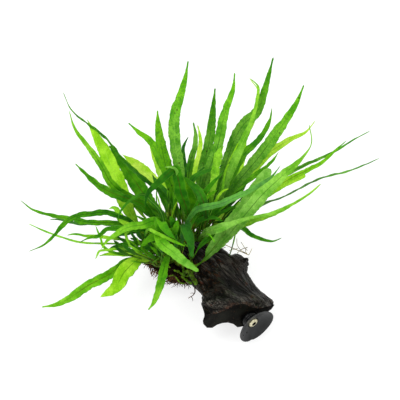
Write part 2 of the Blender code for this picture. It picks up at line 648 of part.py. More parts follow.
def make_room(line, half, edge, floor, rounds):
    """Moves leaves toward or away from the viewer until those that cross in the picture clear each other."""
    count = len(line)
    weights = between_rings(FINE_STEPS)
    spread = np.linspace(-1, 1, ACROSS_STEPS)
    fine_half = half @ weights.T
    fine_edge = np.einsum("fk,nkc->nfc", weights, edge)
    owner = np.repeat(np.arange(count), FINE_STEPS * ACROSS_STEPS)
    station = np.tile(np.repeat(np.arange(FINE_STEPS), ACROSS_STEPS), count)
    offset = fine_half[:, :, None, None] * fine_edge[:, :, None, :] * spread[None, None, :, None]
    reach = fine_half * np.abs(fine_edge).max(axis=2)
    free = np.clip(np.arange(LEAF_RINGS + 1) / 2, 0, 1)
    start = line[:, :, 2].copy()
    for number in range(rounds):
        fine = np.einsum("fk,nkc->nfc", weights, line)
        rise = FLOOR_LINE - fine[:, :, 1]
        lowest = (FLOOR_CLEARANCE / PIXEL - rise * math.cos(VIEW_TILT)) / math.sin(VIEW_TILT)
        points = (fine[:, :, None, :] + offset).reshape(-1, 3)
        shift = CELL / 2 * np.array((number % 2, number // 2 % 2))
        cells = np.floor((points[:, :2] + shift) / CELL).astype(int)
        order = np.lexsort((points[:, 2], cells[:, 1], cells[:, 0]))
        first, second = order[:-1], order[1:]
        together = (cells[first] == cells[second]).all(axis=1) & (owner[first] != owner[second])
        lack = ROOM - (points[second, 2] - points[first, 2])
        close = together & (lack > 0)
        push = np.zeros((count, FINE_STEPS))
        tally = np.zeros((count, FINE_STEPS))
        for side, sign in ((first[close], -0.5), (second[close], 0.5)):
            np.add.at(push, (owner[side], station[side]), sign * lack[close])
            np.add.at(tally, (owner[side], station[side]), 1)
        push /= np.maximum(tally, 1)
        column = np.clip(points[:, 0] // 2, 0, 199).astype(int)
        row = np.clip(points[:, 1] // 2, 0, 199).astype(int)
        under = floor[column, row] + SOLID_ROOM - points[:, 2]
        under = under.reshape(count, FINE_STEPS, ACROSS_STEPS).max(axis=2)
        low = lowest + reach - fine[:, :, 2]
        push = np.where(under > 0, np.maximum(push, 0.6 * under), push)
        push = np.where(low > 0, np.maximum(push, low), push)
        strongest = np.abs(push)
        moved = np.einsum("fk,nf->nk", weights, push * strongest)
        weight = np.einsum("fk,nf->nk", weights, strongest)
        step = free * moved / np.maximum(weight, 0.3)
        step = (step + 0.5 * SPREAD * (np.roll(step, 1, axis=1) + np.roll(step, -1, axis=1)) * free) / (1 + SPREAD)
        line[:, :, 2] += 1.2 * step
        drift = line[:, :, 2] - start
        line[:, 1:-1, 2] += EASING * (drift[:, :-2] + drift[:, 2:] - 2 * drift[:, 1:-1])


def part_stalks(line, half, solid, rounds):
    """Moves the thin stalks, in any direction, until they clear each other and the solid that carries them."""
    count = len(line)
    steps = 2 * FINE_STEPS
    weights = between_rings(steps)
    fine_half = (half @ weights.T).reshape(-1)
    owner = np.repeat(np.arange(count), steps)
    thin = np.flatnonzero(fine_half < THIN)
    free = np.clip(np.arange(LEAF_RINGS + 1) / 1.5, 0, 1)
    for _ in range(rounds):
        fine = np.einsum("fk,nkc->nfc", weights, line).reshape(-1, 3)
        tree = KDTree(len(thin))
        for index in thin:
            tree.insert(fine[index], int(index))
        tree.balance()
        push = np.zeros((len(fine), 3))
        tally = np.zeros(len(fine))
        for index in thin:
            for place_on, other, distance in tree.find_range(fine[index], 2 * THIN):
                need = fine_half[index] + fine_half[other] + STALK_ROOM
                if owner[other] == owner[index] or distance >= need:
                    continue
                away = (fine[index] - fine[other]) / max(distance, 0.05)
                push[index] += away * (need - distance) / 2
                tally[index] += 1
            if index % steps < STALK_FOOT:
                continue
            world = spot(*fine[index])
            near, normal, _, distance = solid.find_nearest(world, THIN * 2 * PIXEL)
            if near is None:
                continue
            clear = math.copysign(distance, (world - near).dot(normal)) / PIXEL
            need = fine_half[index] + STALK_ROOM
            if clear < need:
                push[index] += (picture_of(normal * PIXEL) - picture_of((0, 0, 0))) * (need - clear)
                tally[index] += 1
        push = (push / np.maximum(tally, 1)[:, None]).reshape(count, steps, 3)
        size = np.linalg.norm(push, axis=2)
        moved = np.einsum("fk,nfc->nkc", weights, push * size[:, :, None])
        weight = np.einsum("fk,nf->nk", weights, size)
        line += free[None, :, None] * moved / np.maximum(weight, 0.3)[:, :, None]


def leaf_mesh(name, line, half, edge):
    points = [spot(*point) for point in line]
    rings = []
    for number in range(LEAF_RINGS):
        ahead, behind = points[number + 1], points[max(0, number - 1)]
        along = (ahead - behind).normalized()
        right, down, toward = edge[number]
        side = heading((right, -down, toward))
        side = (side - along * side.dot(along)).normalized()
        normal = side.cross(along).normalized()
        if normal.dot(TO_VIEWER) < 0:
            normal = -normal
        reach = half[number] * PIXEL
        lift = KEEL * max(0, reach - STALK_RADIUS)
        thick = BLADE_THICKNESS / 2 if reach > 2 * STALK_RADIUS else STALK_RADIUS
        middle = points[number]
        rings.append((
            middle - side * reach + normal * lift,
            middle - normal * thick,
            middle + side * reach + normal * lift,
            middle + normal * thick,
        ))
    shape = loft(rings, None, points[-1])
    return mesh_from(shape, name)


def centre_on_floor(collection):
    """Carries every object so that the middle of the pieces, seen from above, stands over the origin."""
    points = np.array(finished(collection.objects)[0])
    middle = (points.min(axis=0) + points.max(axis=0)) / 2
    carrier = bpy.data.objects.new("centre", None)
    carrier.location = (-middle[0], -middle[1], 0)
    for thing in list(bpy.data.objects):
        if thing is not carrier:
            thing.parent = carrier
    bpy.context.scene.collection.objects.link(carrier)


def main():
    clear_scene()
    plant = bpy.data.collections.new("java_fern_on_driftwood")
    cutters = bpy.data.collections.new("cutters")
    bpy.context.scene.collection.children.link(plant)
    bpy.context.scene.collection.children.link(cutters)
    wood = make_wood(plant, cutters)
    turned("suction_cup", CUP_PROFILE, CUP_STEPS, "rubber", plant)
    screw = turned("screw", SCREW_PROFILE, SCREW_STEPS, "steel", plant)
    head_top = SCREW_PROFILE[0][1] / 1000
    cut(screw, cylinder_cutter("socket", SOCKET_RADIUS, head_top - SOCKET_DEPTH, 0, 6, cutters))
    mat = make_root_mat(wood, plant, cutters)
    carrier = BVHTree.FromPolygons(*finished([wood, mat]))
    stems = []
    for number, points in enumerate(RHIZOMES, 1):
        stems.append(make_rhizome(f"rhizome_{number}", points, carrier, -45, plant))
    solids = [thing for thing in plant.objects if not thing.name.startswith(("suction", "screw"))]
    bases = choose_bases(stems)
    plans = [leaf_plan(row, bases[index]) for index, row in enumerate(LEAVES)]
    line, half, edge = (np.stack([plan[part] for plan in plans]) for part in ("line", "half", "edge"))
    solid = BVHTree.FromPolygons(*finished(solids))
    floor = height_map(solid)
    for rounds, stalk_rounds in ROUNDS:
        make_room(line, half, edge, floor, rounds)
        part_stalks(line, half, solid, stalk_rounds)
    for number in range(len(plans)):
        name = f"leaf_{number + 1:02d}"
        place(name, leaf_mesh(name, line[number], half[number], edge[number]), "leaf", plant)
    centre_on_floor(plant)


main()
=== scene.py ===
"""Dresses the java fern on driftwood: waved leaves with ribs and veins, fibrous wood, root felt and hairs,
creeping stems, the rubber suction cup and its screw.

Places are given in the picture frame, as in the part: across to the right, down the picture and toward the
viewer, in pixels of the front view. PIXEL turns them into metres.
"""

import math
import random

import bmesh
import bpy
import numpy as np
from mathutils import Matrix, Vector, noise
from mathutils.bvhtree import BVHTree


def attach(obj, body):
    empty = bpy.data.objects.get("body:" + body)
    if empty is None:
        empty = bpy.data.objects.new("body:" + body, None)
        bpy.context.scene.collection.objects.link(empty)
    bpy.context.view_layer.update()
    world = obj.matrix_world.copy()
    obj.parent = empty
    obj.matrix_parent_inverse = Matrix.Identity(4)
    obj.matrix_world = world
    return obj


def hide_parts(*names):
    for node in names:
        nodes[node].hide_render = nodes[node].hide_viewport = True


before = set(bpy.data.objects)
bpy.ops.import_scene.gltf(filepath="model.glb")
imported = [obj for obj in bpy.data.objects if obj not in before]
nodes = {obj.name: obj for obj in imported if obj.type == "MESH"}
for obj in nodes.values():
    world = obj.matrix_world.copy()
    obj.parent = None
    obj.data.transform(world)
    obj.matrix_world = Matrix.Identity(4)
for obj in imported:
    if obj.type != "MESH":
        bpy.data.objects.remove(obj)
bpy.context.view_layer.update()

# The picture frame
CUP_DIAMETER = 0.0365
CUP_ACROSS = 40.6
PIXEL = CUP_DIAMETER / CUP_ACROSS
VIEW_TILT = math.radians(40)
TO_VIEWER = Vector((0, -math.cos(VIEW_TILT), math.sin(VIEW_TILT)))
CUP_SPOT = (256.7, 326.8, 12.85)
CUP_FACES = Vector((0.570, -0.663, 0.485)).normalized()
PICTURE_SIZE = 400
CAMERA_DISTANCE = 10.0
SENSOR = 36.0
# How far behind the foremost point of the cup its rim is still read
RIM_DEPTH = 2e-5


def heading(right, up, toward):
    """A direction in (right, up the picture, toward the viewer) as a world direction."""
    return Vector((
        right,
        up * math.sin(VIEW_TILT) - toward * math.cos(VIEW_TILT),
        up * math.cos(VIEW_TILT) + toward * math.sin(VIEW_TILT),
    ))


def rim_middle():
    """The middle of the cup's rim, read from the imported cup."""
    facing = heading(*CUP_FACES)
    points = {tuple(round(value, 6) for value in vertex.co) for vertex in nodes["suction_cup"].data.vertices}
    front = max(Vector(point).dot(facing) for point in points)
    rim = [Vector(point) for point in points if Vector(point).dot(facing) > front - RIM_DEPTH]
    return sum(rim, Vector()) / len(rim)


RIM_MIDDLE = rim_middle()
CUP_AXIS = heading(*CUP_FACES).normalized()


def spot(across, down, toward):
    """A place in the picture frame as a world point in metres."""
    rise = CUP_SPOT[1] - down
    nearer = toward - CUP_SPOT[2]
    return RIM_MIDDLE + PIXEL * Vector((
        across - CUP_SPOT[0],
        rise * math.sin(VIEW_TILT) - nearer * math.cos(VIEW_TILT),
        rise * math.cos(VIEW_TILT) + nearer * math.sin(VIEW_TILT),
    ))


def picture_of(point):
    """A world point in the picture frame."""
    x, y, z = (Vector(point) - RIM_MIDDLE) / PIXEL
    rise = y * math.sin(VIEW_TILT) + z * math.cos(VIEW_TILT)
    nearer = z * math.sin(VIEW_TILT) - y * math.cos(VIEW_TILT)
    return np.array((x + CUP_SPOT[0], CUP_SPOT[1] - rise, nearer + CUP_SPOT[2]))


# Colours, as they look on a screen
TONES = {
    "dark": ((14, 69, 0), (36, 104, 2)),
    "deep": ((26, 96, 0), (62, 138, 5)),
    "mid": ((48, 125, 0), (92, 165, 11)),
    "bright": ((76, 157, 2), (120, 196, 23)),
    "light": ((98, 171, 18), (146, 211, 51)),
    # lime and yellow are partly the leaves' own paler green and partly painted light shining through them
    # from behind
    "lime": ((126, 194, 13), (172, 230, 52)),
    "yellow": ((154, 213, 30), (198, 236, 82)),
    "blue": ((36, 106, 10), (82, 158, 36)),
    "sage": ((70, 138, 22), (120, 182, 60)),
    "grey": ((94, 162, 44), (142, 202, 84)),
}
RIBS = {"pale": (128, 190, 62), "brown": (74, 62, 8), "dark": (20, 70, 6), "red": (70, 42, 12)}
RIB_STRENGTH = {"pale": 0.2, "brown": 0.38, "dark": 0.3, "red": 0.5}
STALK_BROWN = (92, 80, 16)
STALK_DEEP = (46, 96, 10)
STALK_GREEN = (78, 128, 22)
VEIN_GREEN = (26, 92, 8)
SHADE_GREEN = (8, 60, 2)
BLOTCH_GREEN = (44, 106, 36)
SPECK_BROWN = (40, 46, 12)
MARGIN_GREEN = (128, 190, 56)

# Looks that many leaves share: tone of the blade, tone of the tip, rib, mottling, wave of the margins
DARK_LOOKS = ("dark", "deep", "dark", 0.2, 0.6)
BLOTCHED_LOOKS = ("dark", "deep", "dark", 0.3, 0.6)
DEEP_LOOKS = ("deep", "mid", "dark", 0.2, 0.6)

# How each leaf looks, in the same order
LEAF_LOOKS = {
    "leaf_01": ("deep", "mid", "dark", 0.4, 1.0),
    "leaf_02": ("mid", "light", "dark", 0.2, 0.6),
    "leaf_03": ("lime", "lime", "pale", 0.1, 0.4),
    "leaf_04": ("mid", "mid", "brown", 0.2, 0.6),
    "leaf_05": ("yellow", "yellow", "pale", 0.1, 0.4),
    "leaf_06": ("deep", "mid", "brown", 0.2, 1.2),
    "leaf_07": ("mid", "bright", "dark", 0.3, 0.5),
    "leaf_08": ("mid", "bright", "dark", 0.8, 0.7),
    "leaf_09": ("grey", "yellow", "pale", 0.1, 0.4),
    "leaf_10": ("sage", "bright", "pale", 1.0, 0.7),
    "leaf_11": ("mid", "sage", "dark", 0.4, 0.5),
    "leaf_12": ("yellow", "yellow", "pale", 0.0, 0.4),
    "leaf_13": ("sage", "mid", "dark", 0.9, 0.6),
    "leaf_14": ("sage", "bright", "dark", 0.8, 0.6),
    "leaf_15": ("lime", "yellow", "pale", 0.1, 0.5),
    "leaf_16": ("sage", "mid", "dark", 0.9, 0.8),
    "leaf_17": ("grey", "yellow", "pale", 0.3, 0.5),
    "leaf_18": ("lime", "lime", "pale", 0.1, 0.3),
    "leaf_19": ("mid", "mid", "dark", 0.4, 0.7),
    "leaf_20": ("sage", "bright", "dark", 0.8, 0.8),
    "leaf_21": ("lime", "yellow", "dark", 0.2, 0.6),
    "leaf_22": ("mid", "bright", "dark", 0.3, 0.7),
    "leaf_23": ("grey", "light", "dark", 0.3, 0.7),
    "leaf_24": ("grey", "grey", "brown", 0.3, 0.6),
    "leaf_25": ("blue", "blue", "dark", 0.2, 0.6),
    "leaf_26": ("light", "yellow", "pale", 0.2, 1.0),
    "leaf_27": ("blue", "mid", "brown", 0.3, 1.0),
    "leaf_28": ("sage", "blue", "dark", 0.2, 0.5),
    "leaf_29": ("lime", "bright", "brown", 0.2, 0.9),
    "leaf_30": ("lime", "lime", "pale", 0.2, 0.8),
    "leaf_31": ("deep", "mid", "dark", 0.3, 0.8),
    "leaf_32": ("mid", "mid", "dark", 0.3, 1.4),
    "leaf_33": ("blue", "deep", "dark", 0.3, 1.0),
    "leaf_34": ("deep", "mid", "dark", 0.3, 1.0),
    "leaf_35": ("dark", "deep", "pale", 0.1, 0.5),
    "leaf_36": ("light", "light", "pale", 0.1, 0.8),
    "leaf_37": ("deep", "mid", "dark", 0.3, 1.0),
    "leaf_38": ("mid", "light", "dark", 0.2, 0.7),
    "leaf_39": DEEP_LOOKS,
    "leaf_40": ("bright", "sage", "dark", 0.3, 0.6),
    "leaf_41": ("mid", "light", "dark", 0.2, 0.7),
    "leaf_42": ("lime", "lime", "dark", 0.2, 0.6),
    "leaf_43": ("bright", "light", "brown", 0.2, 0.9),
    "leaf_44": ("lime", "lime", "pale", 0.1, 0.8),
    "leaf_45": ("mid", "mid", "dark", 0.2, 0.5),
    "leaf_46": ("dark", "dark", "dark", 0.2, 0.6),
    "leaf_47": DEEP_LOOKS,
    "leaf_48": ("deep", "dark", "red", 0.2, 0.9),
    "leaf_49": ("mid", "bright", "brown", 0.2, 0.7),
    "leaf_50": ("deep", "deep", "red", 0.2, 0.8),
    "leaf_51": DARK_LOOKS,
    "leaf_52": ("deep", "deep", "red", 0.2, 0.6),
    "leaf_53": DEEP_LOOKS,
}

# Blades that keep less or more than their even taper: (share of the length, factor on the half width)
LEAF_FORMS = {
    "frond_01": ((0, 1), (0.45, 0.9), (0.6, 0.7), (1, 0.75)),
    "frond_05": ((0, 1), (0.5, 0.7), (0.66, 0.9), (0.78, 1.35), (0.92, 1.6), (1, 1.2)),
    "frond_12": ((0, 1), (0.3, 1.25), (1, 1.5)),
    "frond_17": ((0, 1), (0.5, 0.9), (0.8, 0.6), (1, 0.5)),
    "frond_19": ((0, 1), (0.4, 1.25), (1, 1.6)),
    "frond_21": ((0, 1), (0.4, 1.2), (0.65, 1.7), (0.85, 1.7), (1, 1)),
    "frond_22": ((0, 1), (0.4, 1.35), (1, 1.6)),
    "frond_23": ((0, 1), (0.5, 1), (0.68, 0.85), (0.8, 0.6), (0.88, 0.3), (1, 0.2)),
    "frond_26": ((0, 1), (0.3, 0.9), (0.5, 0.4), (1, 0.4)),
    "frond_27": ((0, 1), (0.25, 0.7), (0.45, 0.42), (0.7, 0.45), (0.85, 0.75), (1, 1)),
    "frond_28": ((0, 1), (0.3, 0.8), (0.7, 0.8), (1, 1)),
    "frond_42": ((0, 0.8), (0.45, 0.9), (0.62, 1.2), (0.8, 1.4), (0.94, 1.75), (1, 1.8)),
    "frond_46": ((0, 0.6), (0.4, 0.75), (0.55, 0.95), (0.75, 1.1), (0.95, 1.6), (1, 1.6)),
    "frond_47": ((0, 1), (0.3, 1.0), (0.55, 1.3), (1, 1.2)),
    "frond_48": ((0, 0.3), (0.25, 0.5), (0.38, 1.1), (0.5, 1.6), (0.6, 1.35), (0.72, 1.05), (0.95, 1.3),
                 (1, 1)),
    "frond_49": ((0, 1), (0.3, 1.3), (0.7, 1.3), (1, 1)),
    "frond_50": ((0, 0.8), (0.3, 1.3), (0.8, 1.4), (1, 1)),
    "frond_51": ((0, 1), (0.3, 1.3), (0.7, 1.3), (1, 1)),
    "sprig_26": ((0, 0.12), (0.12, 0.5), (0.2, 1), (0.36, 1), (0.46, 0.56), (0.56, 0.42), (0.72, 0.44),
                 (0.85, 0.25), (1, 0.08)),
    "sprig_28": ((0, 0.12), (0.2, 0.4), (0.36, 0.9), (0.5, 1), (0.62, 0.8), (0.74, 0.4), (0.9, 0.32),
                 (1, 0.12)),
    "sprig_41": ((0, 0.12), (0.3, 0.3), (0.55, 0.7), (0.72, 1), (0.92, 0.95), (1, 0.7)),
}
# Middle lines set a little aside of their solid's: (share of the length, pixels right, pixels down)
LEAF_SHIFTS = {
    "frond_05": ((0, 0, 0), (0.55, 0, 0), (0.6, -0.5, 1.5), (0.745, -2, 4.5), (0.85, -2.5, 6.5),
                 (0.94, -1, 3), (1, 0, 0)),
    "frond_46": ((0, 0, 0), (0.3, 1, 4), (0.5, 1.5, 8), (0.58, 1.5, 7), (0.7, 0.5, 3), (0.85, 0, 0),
                 (1, 0, 0)),
    "frond_48": ((0, 0, 0), (0.2, 2, 0), (0.31, 4, 0), (0.38, 2.5, 0), (0.45, -0.5, 0), (0.52, -3, 0),
                 (0.6, -3, 0), (0.68, -1.5, 1), (0.8, 0, 0), (1, 0, 0)),
}
# Leaves that stay full toward the tip, the form that they share, and the half width that their tip keeps
FULL_TIPS = ("frond_04", "frond_06", "frond_07", "frond_08", "frond_10", "frond_11", "frond_13",
             "frond_14", "frond_16", "frond_20", "frond_41", "frond_43")
FULL_FORM = ((0, 1), (0.55, 1), (0.82, 1.25), (1, 1.4))
FULL_TIP = 0.0008
# Tips that end bluntly: half width in metres
BLUNT_TIPS = {
    "frond_24": 0.0046, "frond_40": 0.0019, "frond_30": 0.0021, "frond_46": 0.0020, "frond_12": 0.0008,
}

# Leaves past the part's own: name, width in pixels, turn in degrees, pixels toward the viewer at the middle
# and at the tip, looks, places in the picture
SMALL_LEAVES = (
    ("sprig_01", 3.5, 15, -20, -30, ("lime", "lime", "pale", 0.1, 0.4),
     ((150, 225), (136, 208), (125, 197), (112, 189), (105, 180), (103, 172))),
    ("sprig_02", 6, 10, -10, -16, ("dark", "deep", "dark", 0.8, 1.6),
     ((183, 205), (184, 180), (184, 160), (183, 148), (188.5, 136))),
    ("sprig_03", 2.3, 20, 34, 52, ("bright", "lime", "pale", 0.0, 0.4),
     ((205, 222), (214, 205), (222, 190), (225, 173), (232, 156), (238.5, 142.5))),
    ("sprig_04", 9, 0, 20, 26, ("lime", "light", "dark", 0.1, 0.6),
     ((158, 242), (146, 234), (135, 228), (129.5, 223), (121.5, 219), (113.6, 207.4), (108.2, 209.2))),
    ("sprig_05", 3.5, 15, 20, 20, ("lime", "bright", "pale", 0.1, 0.8),
     ((150, 248), (130, 241), (110, 238), (95, 236), (85.9, 236), (74.3, 234), (66.3, 235.5))),
    ("sprig_06", 3, 15, 30, 36, ("bright", "bright", "dark", 0.1, 0.5),
     ((150, 252), (126, 255), (108, 250), (103, 246), (101, 240), (98.4, 233), (95.5, 225.5))),
    ("sprig_07", 3, 15, 34, 34, ("light", "light", "pale", 0.1, 0.5),
     ((152, 252), (132, 250), (115, 249), (105.5, 250.3), (99.3, 251), (97.5, 254.3), (95.3, 259.6))),
    ("sprig_08", 6, 10, 22, 22, ("deep", "dark", "dark", 0.3, 0.8),
     ((158, 246), (150, 243), (135, 243.6), (119.8, 245.4), (109, 248.5))),
    ("sprig_09", 4, 25, 44, 46, ("bright", "light", "pale", 0.1, 0.5),
     ((152, 235), (140, 228), (131, 229), (125.6, 234.7), (128, 240.8), (130.6, 250))),
    ("sprig_10", 6, 10, 42, 48, DARK_LOOKS,
     ((178, 246), (170, 244), (156, 246), (141, 248.5), (131.7, 250.7))),
    ("sprig_11", 9, -5, 50, 66, ("deep", "deep", "dark", 0.2, 0.6),
     ((180, 243), (178, 232), (174, 224), (170, 216))),
    ("sprig_12", 2.5, 15, 20, 30, ("dark", "deep", "dark", 0.2, 0.5),
     ((190, 215), (190, 195), (193, 181), (200, 170.7), (209, 164.5))),
    ("sprig_13", 5, 10, 34, 40, ("dark", "deep", "dark", 0.2, 0.8),
     ((186, 236), (191.5, 225.7), (203, 219), (213, 217.5), (223, 221))),
    ("sprig_14", 4, 10, 26, 34, DARK_LOOKS,
     ((190, 232), (195, 222), (213, 216), (226, 210.4), (235, 205))),
    ("sprig_15", 3.6, 0, 36, 44, ("mid", "bright", "pale", 0.0, 0.3),
     ((200, 232), (203, 215), (206, 199), (211, 194), (217.5, 190))),
    ("sprig_16", 5, 0, 6, -6, ("yellow", "lime", "pale", 0.3, 0.8),
     ((206, 236), (217, 222), (224, 215), (233.6, 206.6))),
    ("sprig_17", 3.2, 0, 40, 52, ("deep", "lime", "pale", 0.0, 0.3),
     ((206, 226), (213, 208), (218, 197), (222.5, 191.4), (229, 188.6))),
    ("sprig_45", 5, -30, 50, 100, ("grey", "grey", "pale", 0.1, 0.2),
     ((186, 216), (181, 196), (179, 180), (174.5, 168.2), (164.8, 167.2))),
    ("sprig_44", 9, 10, 70, 72, ("dark", "deep", "red", 0.2, 0.9),
     ((200, 236), (206, 214), (203.5, 202), (198.5, 191), (190, 183), (183, 176))),
    ("sprig_18", 1.6, 10, -8, -4, ("bright", "light", "pale", 0.0, 0.3),
     ((229.5, 256), (231.5, 250), (233.2, 244), (235.6, 234))),
    ("sprig_19", 7, 10, 0, -20, BLOTCHED_LOOKS,
     ((176, 214), (170, 200), (165, 192), (159, 184), (154, 177))),
    ("sprig_20", 8, 10, 4, -10, ("deep", "mid", "dark", 0.3, 0.6),
     ((170, 226), (150, 214), (136, 204), (120, 196), (108, 192))),
    ("sprig_21", 7, 10, -6, -16, BLOTCHED_LOOKS,
     ((206, 226), (218, 208), (232, 193), (246, 176), (254, 163))),
    ("sprig_22", 7, 10, 2, -8, BLOTCHED_LOOKS,
     ((196, 226), (202, 206), (208, 190), (215, 172), (219, 158))),
    ("sprig_23", 7, 10, 6, 0, ("dark", "mid", "dark", 0.3, 0.6),
     ((214, 232), (226, 220), (240, 208), (256, 200), (268, 196))),
    ("sprig_24", 6, 10, 16, 14, BLOTCHED_LOOKS,
     ((164, 238), (150, 232), (138, 230), (124, 234), (112, 236))),
    ("sprig_25", 6, 10, 8, 0, ("dark", "mid", "dark", 0.3, 0.6),
     ((190, 224), (186, 206), (184, 190), (180, 174), (174, 158))),
    ("sprig_26", 8.6, 5, 68, 58, ("grey", "light", "pale", 0.3, 1.5),
     ((196, 243), (206, 232.5), (218.3, 228.7), (239.5, 221), (250.8, 217.4), (261, 216), (275, 212.4),
      (289, 206), (303, 198.3), (313, 191.2), (320.8, 184.1))),
    ("sprig_27", 7, 10, 8, -16, DEEP_LOOKS,
     ((191, 263), (193.5, 257), (198, 249), (205, 241), (215, 235.5), (228, 229), (242, 223))),
    ("sprig_28", 9.6, 10, 50, 46, ("sage", "light", "pale", 0.4, 0.6),
     ((208, 246), (218, 206), (229, 174), (237, 156), (244.4, 138), (251.5, 121.4), (256, 106), (257.6, 96),
      (258.4, 88), (255.6, 81.6), (250, 78))),
    ("sprig_29", 7, 0, 60, 64, ("deep", "mid", "dark", 0.3, 0.8),
     ((168, 246), (172, 236), (176, 227), (177.5, 219.5))),
    ("sprig_30", 3.6, 10, 84, 110, ("light", "bright", "pale", 0.1, 0.6),
     ((152, 246), (146, 234), (148, 229.5), (156, 232.6), (166, 237.4), (176, 242), (185.4, 246))),
    ("sprig_31", 6, 10, 62, 60, DEEP_LOOKS,
     ((170, 246), (168, 233), (160, 227.6), (150, 226.4), (142, 229))),
    ("sprig_32", 9, 0, 50, 54, ("mid", "bright", "dark", 0.2, 0.8),
     ((166, 250), (160, 241), (153, 238), (147, 241), (141.4, 246.6))),
    ("sprig_33", 1.4, 0, 60, 66, ("bright", "bright", "pale", 0, 0.3),
     ((196, 246), (202, 237), (207, 234), (215.5, 242.4))),
    ("sprig_34", 4.5, 0, 26, 30, ("deep", "mid", "brown", 0.2, 0.5),
     ((168, 266), (160, 262), (150, 255), (141, 249), (133, 247))),
    ("sprig_35", 4, 0, 30, 34, ("mid", "bright", "brown", 0.2, 0.5),
     ((172, 266), (164, 259), (156, 251), (150, 246))),
    ("sprig_36", 8, 10, -4, -12, DARK_LOOKS,
     ((200, 240), (212, 222), (226, 206), (240, 192), (248, 180))),
    ("sprig_37", 8, 10, 0, -6, ("deep", "deep", "dark", 0.2, 0.6),
     ((204, 242), (216, 228), (232, 216), (248, 204), (258, 194))),
    ("sprig_38", 7, 10, -16, -24, DARK_LOOKS,
     ((196, 238), (204, 216), (212, 198), (222, 182), (230, 168))),
    ("sprig_39", 7, 20, -24, -30, DARK_LOOKS,
     ((180, 236), (172, 214), (164, 198), (156, 184), (152, 174))),
    ("sprig_41", 8.6, 10, 40, 60, ("light", "light", "pale", 0.5, 0.9),
     ((206, 226), (211, 200), (214.4, 178), (217.4, 161), (220.6, 147))),
    ("sprig_42", 6, 20, -14, -20, DARK_LOOKS,
     ((174, 240), (164, 224), (157, 212), (150, 202), (146, 192))),
    ("sprig_43", 6, 20, -20, -26, DEEP_LOOKS,
     ((180, 238), (172, 220), (166, 206), (161, 194), (158, 182))),
    ("sprig_40", 7, 20, -10, -18, DEEP_LOOKS,
     ((172, 240), (162, 222), (152, 208), (140, 194), (132, 184))),
)

# How much of its lean a leaf has already at this share of its length: the same share, or more
EARLY_SHARE = 0.15
EARLY_LEAN = {"sprig_26": 0.75}

# Fans of young leaves: foot line, tip line, least and most lean, width and share of stalk, looks, count
FANS = (
    (((170, 246), (200, 243)), ((158, 200), (198, 192)), (-16, 20), (1.6, 3.6), (0.4, 0.7),
     ("deep", "mid", "brown", 0.3, 0.5), 22),
    (((172, 247), (202, 244)), ((164, 204), (206, 198)), (-8, 26), (1.4, 2.6), (0.5, 0.8),
     ("mid", "lime", "brown", 0.1, 0.4), 12),
    (((174, 246), (200, 243)), ((172, 190), (196, 184)), (-20, 4), (2, 4), (0.4, 0.6),
     ("dark", "deep", "dark", 0.3, 0.5), 9),
    (((200, 245), (211, 248)), ((206, 214), (238, 204)), (-4, 20), (1.6, 3.4), (0.4, 0.7),
     ("deep", "mid", "brown", 0.2, 0.5), 14),
    (((152, 262), (178, 262)), ((116, 238), (140, 222)), (4, 30), (2, 5), (0.3, 0.6),
     ("dark", "mid", "dark", 0.2, 0.6), 14),
    (((152, 263), (176, 262)), ((120, 252), (158, 226)), (10, 36), (1.6, 3.4), (0.3, 0.6),
     ("mid", "light", "brown", 0.1, 0.5), 12),
    (((158, 262), (182, 262)), ((150, 240), (186, 232)), (18, 40), (3, 5), (0.2, 0.5),
     DARK_LOOKS, 12),
)
THIN_STALK = 0.00055
WOOD_SPROUT = "sprig_18"

# Rows along a leaf stand closer together toward its tip
ROW_STEP = 0.0015
ROW_POWER = 0.9
FEWEST_ROWS = 36
MOST_ROWS = 96
YOUNG_ROWS = 22
# The leaf's section: places across it, from the left edge to the right
ACROSS = (-1, -0.9, -0.68, -0.42, -0.2, -0.08, 0, 0.08, 0.2, 0.42, 0.68, 0.9, 1)
SECTION_STEPS = 2 * (len(ACROSS) - 1)

# The blade: thinner at its margins and where it is narrow, with a rib that fades toward the tip
BLADE_THICKNESS = 0.00045
MARGIN_THINNING = 0.6
THIN_BELOW = 0.0008
RIB_HEIGHT = 0.00045
RIB_REACH = 0.0009
RIB_FADE = 0.8
RIB_ABOVE = 0.25
KEEL = 0.16
KEEL_POWER = 1.4

# The stalk is round, and keeps at least this share of its width where the leaf is narrower
STALK_RADIUS = 0.0006
STALK_LEAST = 0.6
# The blade starts at this many stalk radii and is whole at this share of the widest half width past that. It
# counts as blade from this mix on, and past this share of the length it is blade in any case
BLADE_STARTS = 1.2
BLADE_SPREADS = 0.35
BLADE_SEEN = 0.15
BLADE_FROM = 0.6

# Waves and nicks of the margins: repeats per metre, number of variants, step to the left margin, noise layer
MARGIN_NOISES = {"sway": (90, 31, 5, 0.5), "nick": (260, 23, 9, 2.5), "fine": (420, 19, 7, 4.5)}
WAVE_LENGTH = 0.013
LEFT_PHASE = 1.9
FRINGE_POWER = 1.6
EVEN_WAVE = 0.18
STRAY_WAVE = 0.3
WAVE_LIMIT = 0.004
RUFFLE = 0.22
RUFFLE_LIMIT = 0.003
NICK = 0.11
SWAY = 0.08

# Tips reach past the solid's, and round off from this share of the length, or blunt ones over so many half
# widths
TIP_REACH = 0.0014
TIP_ROUNDS_FROM = 0.975
BLUNT_LENGTH = 1.5
# The share of its half width that the very tip keeps
POINT_SHARE = 0.02
# From this share of the length, and over this share, the least half width becomes the tip's own
OUTER_FROM = 0.7
OUTER_STRETCH = 0.2
LEAST_HALF_WIDTH = 0.0005
# The least half width that a finish is made for, and the width under which a solid's ring is thin
NARROWEST = 0.0008
THIN_SPAN = 0.002

# Maps: along a blade, the map's unit is a tenth of a metre
MAP_SCALE = 10
RIB_HALF_WIDTH = 0.00034
BLADE_SHINE = {"blue": 0.34, "dark": 0.1}
PLAIN_SHINE = 0.06

# Points nearer together than this are one
SAME_POINT = 2e-6
SAME_CORNER = 1e-6


